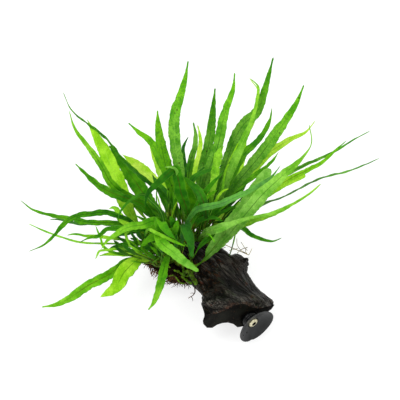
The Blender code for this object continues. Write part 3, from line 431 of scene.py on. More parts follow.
def screen_colour(red, green, blue):
    """A colour as seen on a screen, as a linear colour."""
    values = []
    for value in (red, green, blue):
        share = value / 255
        values.append(share / 12.92 if share <= 0.04045 else ((share + 0.055) / 1.055) ** 2.4)
    return (*values, 1)


class Finish:
    """A material under construction, with short names for the nodes that it uses."""

    def __init__(self, name, roughness=0.5, metallic=0.0, specular=0.5):
        self.material = bpy.data.materials.new(name)
        self.material.use_nodes = True
        self.tree = self.material.node_tree
        self.shader = self.tree.nodes["Principled BSDF"]
        self.shader.inputs["Roughness"].default_value = roughness
        self.shader.inputs["Metallic"].default_value = metallic
        self.shader.inputs["Specular IOR Level"].default_value = specular
        places = self.tree.nodes.new("ShaderNodeTexCoord")
        self.place = places.outputs["Object"]
        self.map = places.outputs["UV"]

    def feed(self, target, value):
        """Sets a socket to a number or colour, or links another socket to it."""
        if isinstance(value, bpy.types.NodeSocket):
            self.tree.links.new(value, target)
        else:
            target.default_value = value

    def node(self, kind, sockets, **settings):
        """A new node with its settings, and with a value or a link in each named socket."""
        made = self.tree.nodes.new(f"ShaderNode{kind}")
        for name, value in settings.items():
            setattr(made, name, value)
        for name, value in sockets.items():
            self.feed(made.inputs[name], value)
        return made

    def math(self, operation, *values):
        return self.node("Math", dict(enumerate(values)), operation=operation).outputs[0]

    def times(self, first, second):
        return self.math("MULTIPLY", first, second)

    def inverse(self, value):
        return self.math("SUBTRACT", 1.0, value)

    def join(self, *values):
        return self.node("CombineXYZ", dict(enumerate(values))).outputs[0]

    def split(self, source):
        return self.node("SeparateXYZ", {0: source}).outputs

    def ramp(self, value, low, high):
        """0 below low, 1 above high, smooth between."""
        sockets = {"Value": value, "From Min": low, "From Max": high}
        return self.node("MapRange", sockets, interpolation_type="SMOOTHSTEP").outputs["Result"]

    def blend(self, share, first, second):
        sockets = {"Factor": share, "A": first, "B": second}
        return self.node("Mix", sockets, data_type="RGBA").outputs["Result"]

    def tinted(self, colour, share, strength, tone):
        """The colour with some of another tone over it, as much as share and strength say."""
        return self.blend(self.times(share, strength), colour, screen_colour(*tone))

    def moved(self, source, step):
        return self.node("Mapping", {"Vector": source, "Location": step}).outputs["Vector"]

    def stretched(self, source, scale, turn=(0, 0, 0)):
        return self.node("Mapping", {"Vector": source, "Scale": scale, "Rotation": turn}).outputs["Vector"]

    def noise(self, source, scale, detail=3, roughness=0.55):
        sockets = {"Vector": source, "Scale": scale, "Detail": detail, "Roughness": roughness}
        return self.node("TexNoise", sockets).outputs["Fac"]

    def patches(self, source, scale, low, high, detail=3, roughness=0.55):
        """Noise as patches: 0 where it is below low, 1 where it is above high."""
        return self.ramp(self.noise(source, scale, detail, roughness), low, high)

    def cells(self, source, scale, feature="F1"):
        sockets = {"Vector": source, "Scale": scale}
        return self.node("TexVoronoi", sockets, feature=feature).outputs["Distance"]

    def bands(self, source, scale, distortion, detail):
        """Bands across the second coordinate."""
        sockets = {"Vector": source, "Scale": scale, "Distortion": distortion, "Detail": detail}
        return self.node("TexWave", sockets, wave_type="BANDS", bands_direction="Y").outputs["Fac"]

    def bump(self, height, depth, strength):
        bump = self.node("Bump", {"Height": height, "Distance": depth, "Strength": strength})
        self.feed(self.shader.inputs["Normal"], bump.outputs["Normal"])

    def colour(self, value):
        self.feed(self.shader.inputs["Base Color"], value)

    def cloudy(self, scale, low, high, tones, detail=4, roughness=0.55):
        """Patches over the piece, and a colour that goes with them from the first tone to the second."""
        cloud = self.patches(self.place, scale, low, high, detail, roughness)
        return cloud, self.blend(cloud, *(screen_colour(*tone) for tone in tones))


# Shapes and lines

def copy_of(piece):
    shape = bmesh.new()
    shape.from_mesh(piece.data)
    return shape


def merged_copy(node):
    """A copy of a solid's mesh with its doubles merged."""
    shape = copy_of(node)
    bmesh.ops.remove_doubles(shape, verts=shape.verts, dist=SAME_POINT)
    return shape


def refined_copy(node, cuts):
    """A merged copy whose edges are cut into shorter ones."""
    shape = merged_copy(node)
    bmesh.ops.subdivide_edges(shape, edges=shape.edges[:], cuts=cuts, use_grid_fill=True)
    return shape


def smooth_out(shape, rounds, points):
    for _ in range(rounds):
        bmesh.ops.smooth_vert(
            shape, verts=points, factor=0.5, use_axis_x=True, use_axis_y=True, use_axis_z=True,
        )
    shape.normal_update()


def push_out(shape, height_at):
    """Moves each point along its normal by the height at its place."""
    moves = {vertex: vertex.normal * height_at(vertex.co) for vertex in shape.verts}
    for vertex, move in moves.items():
        vertex.co += move


def close_up(shape):
    bmesh.ops.remove_doubles(shape, verts=shape.verts, dist=SAME_CORNER)
    bmesh.ops.recalc_face_normals(shape, faces=shape.faces)


def mesh_piece(name, shape, finish):
    """Turns a shape into an object of the scene."""
    data = bpy.data.meshes.new(name)
    shape.to_mesh(data)
    shape.free()
    data.materials.append(finish)
    piece = bpy.data.objects.new(name, data)
    bpy.context.scene.collection.objects.link(piece)
    return piece


def settle(name, shape, finish):
    """Turns a shape into a piece with a finish, smooth, that rides on the one body."""
    piece = mesh_piece(name, shape, finish)
    piece.data.shade_smooth()
    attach(piece, "root")
    return piece


def way_along(line):
    """How far along a line each of its points is."""
    return np.concatenate([[0], np.cumsum(np.linalg.norm(np.diff(line, axis=0), axis=1))])


def unit_rows(rows):
    return rows / np.linalg.norm(rows, axis=1, keepdims=True)


def curve_values(marks, values, wanted):
    """Values at the wanted marks, on a smooth curve through the given ones."""
    slopes = np.gradient(values, marks, axis=0)
    index = np.clip(np.searchsorted(marks, wanted) - 1, 0, len(marks) - 2)
    step = marks[index + 1] - marks[index]
    share = (wanted - marks[index]) / step
    if values.ndim > 1:
        step = step[:, None]
        share = share[:, None]
    square, cube = share ** 2, share ** 3
    return (
        (2 * cube - 3 * square + 1) * values[index] + (cube - 2 * square + share) * step * slopes[index]
        + (3 * square - 2 * cube) * values[index + 1] + (cube - square) * step * slopes[index + 1]
    )


def name_number(name, first):
    """A number made from a name, so that each leaf has waves and blotches of its own."""
    return sum(ord(letter) * (place + first) for place, letter in enumerate(name))


def stray(chance, *reaches):
    """A random step, up to its reach either way on each axis."""
    return [chance.uniform(-reach, reach) for reach in reaches]


# The leaves' finish

def leaf_tones(made, looks, half_width, share, stalk_share, here):
    """Tones that drift over the leaf and run in streaks along the blade, shaded toward the stalk."""
    blade_tones, tip_tones = (TONES[tone] for tone in looks[:2])
    drift = made.patches(here, scale=75, low=0.32, high=0.68, roughness=0.6)
    streaks = made.noise(made.stretched(made.map, (half_width * 2600, 17, 1)), scale=1)
    tone_share = made.math("ADD", made.times(drift, 0.62), made.times(streaks, 0.5))
    tone_share = made.ramp(tone_share, 0.18, 0.92)
    blade, tip = (made.blend(tone_share, *(screen_colour(*tone) for tone in tones))
                  for tones in (blade_tones, tip_tones))
    colour = made.blend(made.ramp(share, stalk_share + 0.25, 0.95), blade, tip)
    lit = made.ramp(share, stalk_share - 0.02, stalk_share + 0.34)
    return made.blend(made.math("MULTIPLY_ADD", lit, -0.6, 0.6), colour, screen_colour(*SHADE_GREEN))


def leaf_veins(made, half_width, from_rib, along):
    """Side veins that leave the rib at a slant, with a fine net between them."""
    slanted = made.math("MULTIPLY_ADD", from_rib, -5.0 * half_width, along)
    vein = made.bands(made.join(from_rib, slanted, 0.0), scale=6.5, distortion=3.0, detail=2.0)
    vein = made.ramp(vein, 0.7, 1.0)
    net = made.cells(made.stretched(made.map, (half_width * 1100, 60, 1)), 1.0, "DISTANCE_TO_EDGE")
    netted = made.inverse(made.ramp(net, 0.0, 0.22))
    return made.math("MAXIMUM", made.times(netted, 0.5), made.times(vein, 0.6))


def leaf_blotches(made, colour, mottle, pale_tone, here):
    """Blotches, pale patches and brown specks of age."""
    blotch = made.patches(here, scale=620, low=0.47, high=0.6, detail=4, roughness=0.7)
    colour = made.tinted(colour, blotch, 0.55 * mottle, BLOTCH_GREEN)
    aside = made.moved(here, (2, 1, 3))
    pale = made.patches(aside, scale=560, low=0.55, high=0.68, detail=4, roughness=0.7)
    colour = made.tinted(colour, pale, 0.2 + 0.3 * mottle, pale_tone)
    speck = made.inverse(made.ramp(made.cells(here, 190), 0.10, 0.24))
    rare = made.patches(here, scale=40, low=0.5, high=0.62, detail=1)
    return made.tinted(colour, made.times(speck, rare), min(1, mottle * 1.1), SPECK_BROWN)


def leaf_rib(made, colour, rib, half_width, from_rib, share, here):
    """The rib, broken here and there and fading toward the tip, and paler margins."""
    edge = min(0.5, RIB_HALF_WIDTH / half_width)
    ribbed = made.inverse(made.ramp(from_rib, edge * 0.4, edge * 1.5))
    fading = made.inverse(made.ramp(share, 0.6, 0.95))
    broken = made.patches(here, scale=90, low=0.3, high=0.55, detail=2)
    strength = made.math("MULTIPLY_ADD", broken, 0.4, RIB_STRENGTH[rib])
    colour = made.tinted(colour, made.times(ribbed, fading), strength, RIBS[rib])
    return made.tinted(colour, made.ramp(from_rib, 0.84, 1.0), 0.28, MARGIN_GREEN)


def leaf_finish(name, looks, length, half_width, stalk_share):
    """Living leaf: tone drifting over it, fine streaks, rib, side veins, mottling, and a browner stalk."""
    tone, tip_tone, rib, mottle, _ = looks
    seed = name_number(name, 3) % 97
    made = Finish(name, roughness=0.5, specular=BLADE_SHINE.get(tone, PLAIN_SHINE))
    sideways, along, _ = made.split(made.map)
    from_rib = made.math("ABSOLUTE", made.math("MULTIPLY_ADD", sideways, 2.0, -1.0))
    share = made.times(along, 1 / (MAP_SCALE * length))
    here = made.moved(made.place, (seed * 0.31, seed * 0.17, seed * 0.23))
    colour = leaf_tones(made, looks, half_width, share, stalk_share, here)
    lines = leaf_veins(made, half_width, from_rib, along)
    colour = made.tinted(colour, lines, 0.26, VEIN_GREEN)
    colour = leaf_blotches(made, colour, mottle, TONES[tip_tone][1], here)
    colour = leaf_rib(made, colour, rib, half_width, from_rib, share, here)
    patchy = made.patches(here, scale=120, low=0.4, high=0.6, detail=2)
    stalk_low = STALK_BROWN if rib in ("brown", "red") else STALK_DEEP
    stalk = made.blend(patchy, screen_colour(*stalk_low), screen_colour(*STALK_GREEN))
    at_stalk = made.inverse(made.ramp(share, stalk_share * 0.85, stalk_share * 1.35))
    made.colour(made.blend(at_stalk, colour, stalk))
    relief = made.math("SUBTRACT", made.noise(here, scale=420), lines)
    made.bump(relief, depth=0.0003, strength=0.7)
    return made.material


# The long leaves, read from their solids

def solid_rings(node):
    """The rings of four points of a leaf's solid, from the stalk's foot to the tip, and the tip itself."""
    shape = merged_copy(node)
    for start in shape.verts:
        if len(start.link_edges) != 4:
            continue
        seen = {start}
        layers = []
        layer = [start]
        while layer:
            reached = []
            for vertex in layer:
                for edge in vertex.link_edges:
                    other = edge.other_vert(vertex)
                    if other not in seen:
                        seen.add(other)
                        reached.append(other)
            if reached:
                layers.append(reached)
            layer = reached
        if all(len(layer) == 4 for layer in layers):
            rings = [np.array([vertex.co[:] for vertex in layer]) for layer in reversed(layers)]
            tip = np.array(start.co)
            shape.free()
            return rings, tip
    raise ValueError(f"{node.name} has no plain rings")


def span(pair):
    return np.linalg.norm(pair[1] - pair[0])


def opposite_pairs(ring):
    """Splits a ring of four into its two pairs of opposite points."""
    ways = (((0, 1), (2, 3)), ((0, 2), (1, 3)), ((0, 3), (1, 2)))
    apart = [np.linalg.norm(ring[list(first)].mean(axis=0) - ring[list(second)].mean(axis=0))
             for first, second in ways]
    first, second = ways[int(np.argmin(apart))]
    return ring[list(first)], ring[list(second)]


def side_pair(both, guide):
    """Of a ring's two pairs, the one that lies across the leaf, and the other.

    That is the wider pair, or with a guide the one that lies most along it. Where the ring is thin, only its
    direction counts.
    """
    thin = max(map(span, both)) < THIN_SPAN

    def fit(pair):
        if guide is None:
            return span(pair)
        lined_up = abs(np.dot(pair[1] - pair[0], guide))
        return lined_up / span(pair) if thin else lined_up

    return sorted(both, key=fit, reverse=True)


def read_leaf(node):
    """A leaf solid's middle line, half widths and side directions, at the rings and the tip."""
    rings, tip = solid_rings(node)
    pairs = [opposite_pairs(ring) for ring in rings]
    widest = int(np.argmax([max(map(span, both)) for both in pairs]))
    found = {}
    guide = None
    for number in (*range(widest, len(rings)), *range(widest - 1, -1, -1)):
        if number == widest - 1:
            guide = found[widest][2]
        edge, rest = side_pair(pairs[number], guide)
        across = edge[1] - edge[0]
        if guide is not None and np.dot(across, guide) < 0:
            across = -across
        guide = across / np.linalg.norm(across)
        found[number] = (rest.mean(axis=0), np.linalg.norm(across) / 2, guide)
    line, half, side = (np.array(rows) for rows in zip(*(found[number] for number in range(len(rings)))))
    ahead = tip - line[-1]
    tip = tip + ahead / np.linalg.norm(ahead) * TIP_REACH
    return np.vstack([line, tip]), np.append(half, 0.0), np.vstack([side, side[-1]])


# A leaf's own shape

def shaped_half_widths(name, half, along, length):
    """Half widths after the leaf's own form, with the tip rounded off."""
    share = along / length
    full = name in FULL_TIPS
    if full or name in LEAF_FORMS:
        shares, factors = zip(*(FULL_FORM if full else LEAF_FORMS[name]))
        half = half * np.interp(share, shares, factors)
    least = BLUNT_TIPS.get(name, FULL_TIP if full else LEAST_HALF_WIDTH)
    if full or name in BLUNT_TIPS:
        rounded = BLUNT_LENGTH * least
        beyond = np.clip((along - (length - rounded)) / rounded, 0, 1)
        round_off = np.sqrt(1 - beyond ** 2)
    else:
        round_off = np.sqrt(np.clip((1 - share) / (1 - TIP_ROUNDS_FROM), 0, 1))
    outer = np.clip((share - OUTER_FROM) / OUTER_STRETCH, 0, 1)
    half = np.maximum(half, LEAST_HALF_WIDTH + (least - LEAST_HALF_WIDTH) * outer)
    return half * np.maximum(round_off, POINT_SHARE)


def leaf_stations(name, line, half, side, stalk_radius, count):
    """The stations along a leaf: way along, middle, half width, side and up directions, share of blade."""
    marks = way_along(line)
    length = marks[-1]
    along = length * np.linspace(0, 1, count) ** ROW_POWER
    middle = curve_values(marks, line, along)
    half = shaped_half_widths(name, np.maximum(curve_values(marks, half, along), 0), along, length)
    ahead = unit_rows(np.gradient(middle, axis=0))
    across = curve_values(marks, side, along)
    across = unit_rows(across - ahead * np.sum(across * ahead, axis=1, keepdims=True))
    up = np.cross(across, ahead)
    if Vector(up[count // 2]).dot(TO_VIEWER) < 0:
        up = -up
    bladed = np.clip((half - stalk_radius * BLADE_STARTS) / max(half.max() * BLADE_SPREADS, 1e-5), 0, 1)
    bladed[along > length * BLADE_FROM] = 1
    return along, middle, half, across, up, bladed


def margin_noise(kind, along, seed, on_left):
    rate, kinds, left_step, layer = MARGIN_NOISES[kind]
    return noise.noise(Vector((along * rate, seed % kinds + (left_step if on_left else 0), layer)))


def section_point(column, along, share, half, bladed, wave, seed, stalk_radius):
    """A point of the leaf's section: its place across the blade, and how far out to the side and up it is."""
    turn = column % SECTION_STEPS
    on_top = turn <= SECTION_STEPS // 2
    place = ACROSS[turn] if on_top else ACROSS[SECTION_STEPS - turn]
    on_left = place < 0
    fringe = abs(place) ** FRINGE_POWER
    sway, nick, fine = (margin_noise(kind, along, seed, on_left) for kind in MARGIN_NOISES)
    ripple = math.sin(2 * math.pi * along / WAVE_LENGTH + seed % 7 + (LEFT_PHASE if on_left else 0))
    waved = wave * fringe * min(half, WAVE_LIMIT) * (EVEN_WAVE * ripple + STRAY_WAVE * sway)
    waved += fringe * min(half, RUFFLE_LIMIT) * RUFFLE * nick
    half *= 1 + fringe * (SWAY * wave * sway + NICK * nick + NICK * fine)

    # The blade's section, flat with a keel and a rib
    flat_up = KEEL * max(0, half - stalk_radius) * abs(place) ** KEEL_POWER + waved
    if abs(place) < 1:
        thick = BLADE_THICKNESS / 2 * (1 - MARGIN_THINNING * place ** 2) * min(1, half / THIN_BELOW)
        rib = RIB_HEIGHT * max(0, 1 - abs(place) * half / RIB_REACH) * (1 - RIB_FADE * share)
        flat_up += thick + RIB_ABOVE * rib if on_top else -thick - rib

    # The stalk's section, round
    angle = 2 * math.pi * column / SECTION_STEPS
    round_out = -math.cos(angle) * min(stalk_radius, max(half, stalk_radius * STALK_LEAST))
    round_up = math.sin(angle) * stalk_radius
    out = bladed * place * half + (1 - bladed) * round_out
    return place, out, bladed * flat_up + (1 - bladed) * round_up


def leaf_shape(name, line, half, side, wave, stalk_radius, rows):
    """A closed leaf with its stalk: a round stalk that opens into a thin waved blade with a raised rib.

    Returns the shape with its length, its widest half width and the share of the length that is stalk.
    """
    seed = name_number(name, 5)
    along, middle, half, across, up, bladed = leaf_stations(name, line, half, side, stalk_radius, rows)
    length = along[-1]
    shape = bmesh.new()
    layer = shape.loops.layers.uv.new("leaf")
    bmesh.ops.create_grid(shape, x_segments=SECTION_STEPS, y_segments=rows, size=1)
    spread = {}
    for vertex in shape.verts:
        column = round((vertex.co.x + 1) / 2 * SECTION_STEPS)
        row = round((vertex.co.y + 1) / 2 * rows)
        at = max(0, row - 1)
        place, side_step, up_step = section_point(
            column, along[at], along[at] / length, half[at], bladed[at], wave, seed, stalk_radius,
        )
        if row in (0, rows):
            side_step = up_step = 0
        spread[vertex] = ((place + 1) / 2, along[at] * MAP_SCALE)
        vertex.co = Vector(middle[at] + across[at] * side_step + up[at] * up_step)
    for face in shape.faces:
        for loop in face.loops:
            loop[layer].uv = spread[loop.vert]
    close_up(shape)
    stalk_share = float(along[np.argmax(bladed > BLADE_SEEN)] / length)
    return shape, length, max(half.max(), NARROWEST), stalk_share


def grow_leaf(name, line, half, side, looks, stalk_radius=STALK_RADIUS):
    rows = int(np.clip(way_along(line)[-1] / ROW_STEP, FEWEST_ROWS, MOST_ROWS))
    shape, *sizes = leaf_shape(name, line, half, side, looks[4], stalk_radius, rows)
    return settle(name, shape, leaf_finish(name, looks, *sizes))


def shifted_line(line, shifts):
    """The line moved right and down in the picture, by pixels given at shares of its length."""
    marks = way_along(line)
    shares, right, down = zip(*shifts)
    right, down = (np.interp(marks / marks[-1], shares, steps) for steps in (right, down))
    return line + np.array([heading(step, -drop, 0) * PIXEL for step, drop in zip(right, down)])


def make_leaves():
    for name, looks in LEAF_LOOKS.items():
        line, half, side = read_leaf(nodes[name])
        new_name = name.replace("leaf", "frond")
        if new_name in LEAF_SHIFTS:
            line = shifted_line(line, LEAF_SHIFTS[new_name])
        piece = grow_leaf(new_name, line, half, side, looks)
        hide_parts(name)


# Small leaves, rooted on the creeping stems

STEM_NAMES = ("rhizome_1", "rhizome_2", "rhizome_3")
# Depths in pixels toward the viewer: in front of everything, and where the picture shows no wood, felt or
# stem under a leaf's foot, a bristle, or a rootlet or bit of stem
FRONT = 300
FOOT_DEPTH = -45
BRISTLE_DEPTH = -30
STRAND_DEPTH = -20
LINE_POINTS = 16
SPRIG_OPENS = 0.22
WIDEST_AT = 0.45
TAPER_POWER = 0.9
# Young leaves: place within their share of the fan, how far feet and tips stray in pixels, how far they bow,
# as (share of the way, share of the bow), how far they turn, and how much more they lean at the tip
YOUNG_SEED = 5
YOUNG_PLACE = (0.1, 0.9)
FOOT_STRAY = (2, 2)
TIP_STRAY = (9, 11)
YOUNG_BOW = 0.10
BOWED_PLACES = ((0.35, 0.8), (0.7, 1))
YOUNG_TURN = 50
YOUNG_TIP_LEAN = (1.0, 1.5)


def tree_of(*names):
    points, faces = [], []
    for name in names:
        start = len(points)
        data = nodes[name].data
        points.extend(vertex.co.copy() for vertex in data.vertices)
        faces.extend([start + index for index in face.vertices] for face in data.polygons)
    return BVHTree.FromPolygons(points, faces)


CARRIER = tree_of("driftwood", "root_mat", *STEM_NAMES)
STEMS = tree_of(*STEM_NAMES)


def seen_depth(across, down, fallback):
    """How far toward the viewer the wood, felt or stems stand at a place in the picture."""
    _, _, _, away = CARRIER.ray_cast(spot(across, down, FRONT), -TO_VIEWER)
    return fallback if away is None else FRONT - away / PIXEL


def free_half_widths(width, opens):
    """Half widths of a small leaf: a thin stalk that opens into a blade, or even where a form shapes it."""
    if opens is None:
        half = np.full(LINE_POINTS, width / 2 * PIXEL)
    else:
        opened = np.clip((np.linspace(0, 1, LINE_POINTS) - opens) / (1 - opens), 0, 1)
        rising = np.sin(np.clip(opened / WIDEST_AT, 0, 1) * math.pi / 2)
        falling = np.cos(np.clip((opened - WIDEST_AT) / (1 - WIDEST_AT), 0, 1) * math.pi / 2) ** TAPER_POWER
        half = THIN_STALK + (width / 2 * PIXEL - THIN_STALK) * rising * falling
    half[-1] = 0
    return half


def free_leaf_lines(places, foot_tree, width, turn, lean_middle, lean_tip, opens, early=EARLY_SHARE):
    """Middle line, half widths and side directions of a leaf from its foot on the given solid."""
    foot, _, _, _ = foot_tree.find_nearest(spot(*places[0], seen_depth(*places[0], FOOT_DEPTH)))
    base = picture_of(foot)
    flat = np.array([base[:2], *places[1:]])
    marks = way_along(flat)
    wanted = np.linspace(0, marks[-1], LINE_POINTS)
    leans = (0, early * lean_middle, lean_middle, lean_tip)
    lean = np.interp(marks / marks[-1], (0, EARLY_SHARE, 0.5, 1), leans)
    flat, lean = (curve_values(marks, values, wanted) for values in (flat, lean))
    line = np.array([spot(*place, base[2] + rise) for place, rise in zip(flat, lean)])
    angle = math.radians(turn)
    side = np.array([heading(-down * math.cos(angle), -right * math.cos(angle), math.sin(angle))
                     for right, down in unit_rows(np.gradient(flat, axis=0))])
    return line, free_half_widths(width, opens), side


def make_small_leaves():
    for name, width, turn, lean_middle, lean_tip, looks, places in SMALL_LEAVES:
        foot_tree = CARRIER if name == WOOD_SPROUT else STEMS
        opens = None if name in LEAF_FORMS else SPRIG_OPENS
        early = EARLY_LEAN.get(name, EARLY_SHARE)
        lines = free_leaf_lines(places, foot_tree, width, turn, lean_middle, lean_tip, opens, early)
        grow_leaf(name, *lines, looks, stalk_radius=THIN_STALK)


def young_places(feet, tips, share, chance):
    """Four picture points of a bowed young leaf, from the foot line to the tip line."""
    foot, tip = (np.array(line[0]) + share * (np.array(line[1]) - line[0]) for line in (feet, tips))
    foot = foot + stray(chance, *FOOT_STRAY)
    tip = tip + stray(chance, *TIP_STRAY)
    bow = chance.uniform(-YOUNG_BOW, YOUNG_BOW)
    across = np.array((tip[1] - foot[1], foot[0] - tip[0])) * bow
    return foot, *(foot + (tip - foot) * way + across * bowed for way, bowed in BOWED_PLACES), tip


def make_young_leaves():
    """Crowded stalks and young blades between the big leaves, in fans that share a foot line."""
    chance = random.Random(YOUNG_SEED)
    for number, (feet, tips, leans, widths, opens, looks, count) in enumerate(FANS, 1):
        group = bmesh.new()
        for item in range(count):
            share = (item + chance.uniform(*YOUNG_PLACE)) / count
            places = young_places(feet, tips, share, chance)
            lean = chance.uniform(*leans)
            lines = free_leaf_lines(
                places, STEMS, chance.uniform(*widths), *stray(chance, YOUNG_TURN), lean,
                lean * chance.uniform(*YOUNG_TIP_LEAN), chance.uniform(*opens),
            )
            shape, *sizes = leaf_shape(f"young_{number}_{item}", *lines, looks[4], THIN_STALK, YOUNG_ROWS)
            data = bpy.data.meshes.new("one")
            shape.to_mesh(data)
            shape.free()
            group.from_mesh(data)
            bpy.data.meshes.remove(data)
        settle(f"young_{number}", group, leaf_finish(f"young_{number}", looks, *sizes))


# The wood

SAWN_FACES = heading(0.36, -0.71, 0.605).normalized()
# How squarely a face of the solid has to look that way to be part of the sawn face
SAWN_MATCH = 0.999
# Where the wood keeps its worked faces: edge of the sawn face, resting face, pocket for the cup's foot
SAWN_EDGE = 0.0018
REST_EDGE = 0.0016
POCKET_REACH = 0.0088
POCKET_EDGE = 0.0015
POCKET_DEPTH = 0.03
WOOD_CUTS = 6
WOOD_SMOOTHING = 7
LOOSE_FROM = 0.25
ROUGH_FROM = 0.02
# The grain's run in the picture, and the relief along it
GRAIN_FROM = (215, 255)
GRAIN_TO = (262, 300)
GRAIN_DRIFT = 0.0035
LUMP_HEIGHT = 0.0017
GULLY_DEPTH = 0.0018
FIBRE_HEIGHT = 0.00055
FINE_HEIGHT = 0.0002
# Lumps, gullies, fibres and fine fibres: repeats per metre along the grain and across it
GRAIN_RATES = ((45, 75), (24, 190), (60, 480), (160, 1100))
KNOT_SPOT = (239, 262)
KNOT_REACH = 0.009
KNOT_RING = 0.0021
KNOT_HEIGHT = 0.0005
# Worm holes: (across, down, radius in pixels, depth in millimetres)
HOLES = (
    (256.5, 304, 1.7, 3.2), (222, 300, 1.5, 2.6), (229, 279.5, 1.2, 2.4), (219, 270.5, 1.3, 2.2),
    (254.5, 294.5, 1.3, 2.0), (243, 281, 1.2, 1.8), (218.5, 303, 1.1, 1.6), (209, 291, 1.3, 1.8),
)
# A hollow in the wood's upper edge: (across, down, toward, reach, depth), in pixels
EDGE_HOLLOW = (244, 252, -76, 6, 2.6)
# Swellings on the surface: place in the picture, reach and height, in pixels
SWELLS = ((271, 302, 4, 2.6), (237, 262, 7, 1.6), (203, 302, 3, 1.4))
# The wood's upper outline at the knot, in picture pixels
KNOT_OUTLINE = (
    (216, 243), (222, 249), (227, 252.6), (230.4, 256.4), (232.4, 256), (235, 254.6), (238, 254.3),
    (241.4, 255.6), (244.6, 258.4), (246.6, 258), (249, 258.4), (253, 256),
)
# Its left outline above the sawn end, as (down, across), and where the wood's left side ends
LEFT_OUTLINE = (
    (288, 190), (291, 195.4), (295.6, 202.4), (298, 200.8), (300.5, 200), (304, 201), (307.7, 202.6),
    (311, 204), (315, 205), (318, 203.8), (321, 202.4), (324, 203.6), (327, 206),
)
LEFT_SIDE = 215
# The share of its way past an outline that a point may keep
OUTLINE_SLACK = 0.12
# The wood's own map: relief about its middle, and the way behind the sawn face
RELIEF_MAP = 250
BEHIND_MAP = 100


def surface_spot(across, down):
    """The place on the wood, felt or stems that the picture shows there."""
    return spot(across, down, seen_depth(across, down, 0))


def grain_turn():
    """Turns the world so that the wood's grain lies along X."""
    along = (surface_spot(*GRAIN_TO) - surface_spot(*GRAIN_FROM)).normalized()
    over = TO_VIEWER.cross(along).normalized()
    return Matrix((along, over, along.cross(over)))


def sawn_level():
    """How far along its facing the sawn face's plane stands."""
    faces = nodes["driftwood"].data.polygons
    return max(face.center.dot(SAWN_FACES) for face in faces if face.normal.dot(SAWN_FACES) > SAWN_MATCH)


GRAIN = grain_turn()
SAWN_LEVEL = sawn_level()


def eased(value):
    value = min(1, max(0, value))
    return value * value * (3 - 2 * value)


def ridged(point):
    return 1 - 2 * abs(noise.noise(point))


def behind_sawn_face(point):
    return SAWN_LEVEL - point.dot(SAWN_FACES)


def wood_hold(point):
    """0 where the wood keeps its worked or resting faces, 1 where it is free and rough."""
    behind = behind_sawn_face(point)
    beside = point - RIM_MIDDLE
    off_axis = (beside - CUP_AXIS * beside.dot(CUP_AXIS)).length
    free = eased(behind / SAWN_EDGE) * eased(point.z / REST_EDGE)
    if behind < POCKET_DEPTH:
        free *= eased((off_axis - POCKET_REACH) / POCKET_EDGE)
    return free


def wood_marks():
    """Holes, the hollow and the swellings, as (centre, reach, depth) in metres."""
    marks = [(surface_spot(across, down), radius * PIXEL, depth / 1000)
             for across, down, radius, depth in HOLES]
    across, down, toward, reach, depth = EDGE_HOLLOW
    marks.append((spot(across, down, toward), reach * PIXEL, depth * PIXEL))
    marks += [(surface_spot(across, down), reach * PIXEL, -height * PIXEL)
              for across, down, reach, height in SWELLS]
    return marks


def wood_relief(point, knot, marks):
    """The height of the rough surface here, in metres."""
    turned = GRAIN @ point
    drift = noise.noise(point * 40) * GRAIN_DRIFT
    along, over, out = turned.x, turned.y + drift, turned.z + drift
    lump, gully, fibre, fine = (Vector((along * slow, over * fast, out * fast)) for slow, fast in GRAIN_RATES)
    height = LUMP_HEIGHT * noise.noise(lump) - GULLY_DEPTH * max(0, ridged(gully)) ** 3
    height += FIBRE_HEIGHT * ridged(fibre) + FINE_HEIGHT * noise.noise(fine)
    away = (point - knot).length
    near = math.exp(-(away / KNOT_REACH) ** 2)
    height += near * KNOT_HEIGHT * math.sin(2 * math.pi * away / KNOT_RING)
    for centre, reach, depth in marks:
        height -= depth * math.exp(-((point - centre).length / reach) ** 2)
    return height


def held_to_outline(point):
    """Draws a point that stands out past the wood's outline in the picture back to it."""
    across, down, toward = picture_of(point)
    if KNOT_OUTLINE[0][0] < across < KNOT_OUTLINE[-1][0]:
        line = float(np.interp(across, *zip(*KNOT_OUTLINE)))
        if down < line:
            point = spot(across, line + (down - line) * OUTLINE_SLACK, toward)
    if LEFT_OUTLINE[0][0] < down < LEFT_OUTLINE[-1][0] and across < LEFT_SIDE:
        line = float(np.interp(down, *zip(*LEFT_OUTLINE)))
        if across < line:
            point = spot(line + (across - line) * OUTLINE_SLACK, down, toward)
    return point


def make_wood():
    shape = refined_copy(nodes["driftwood"], WOOD_CUTS)
    hold = {vertex: wood_hold(vertex.co) for vertex in shape.verts}
    smooth_out(shape, WOOD_SMOOTHING, [vertex for vertex in shape.verts if hold[vertex] > LOOSE_FROM])
    knot = surface_spot(*KNOT_SPOT)
    marks = wood_marks()
    heights = {vertex: wood_relief(vertex.co, knot, marks) for vertex in shape.verts}
    for vertex, height in heights.items():
        vertex.co = held_to_outline(vertex.co + vertex.normal * height * hold[vertex])
        vertex.co.z = max(0, vertex.co.z)
    layer = shape.loops.layers.uv.new("relief")
    for face in shape.faces:
        face.material_index = 0 if any(hold[vertex] > ROUGH_FROM for vertex in face.verts) else 1
        for loop in face.loops:
            behind = behind_sawn_face(loop.vert.co)
            loop[layer].uv = (0.5 + heights[loop.vert] * RELIEF_MAP, behind * BEHIND_MAP)
    piece = settle("wood_body", shape, wood_finish())
    piece.data.materials.append(sawn_finish())
    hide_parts("driftwood")


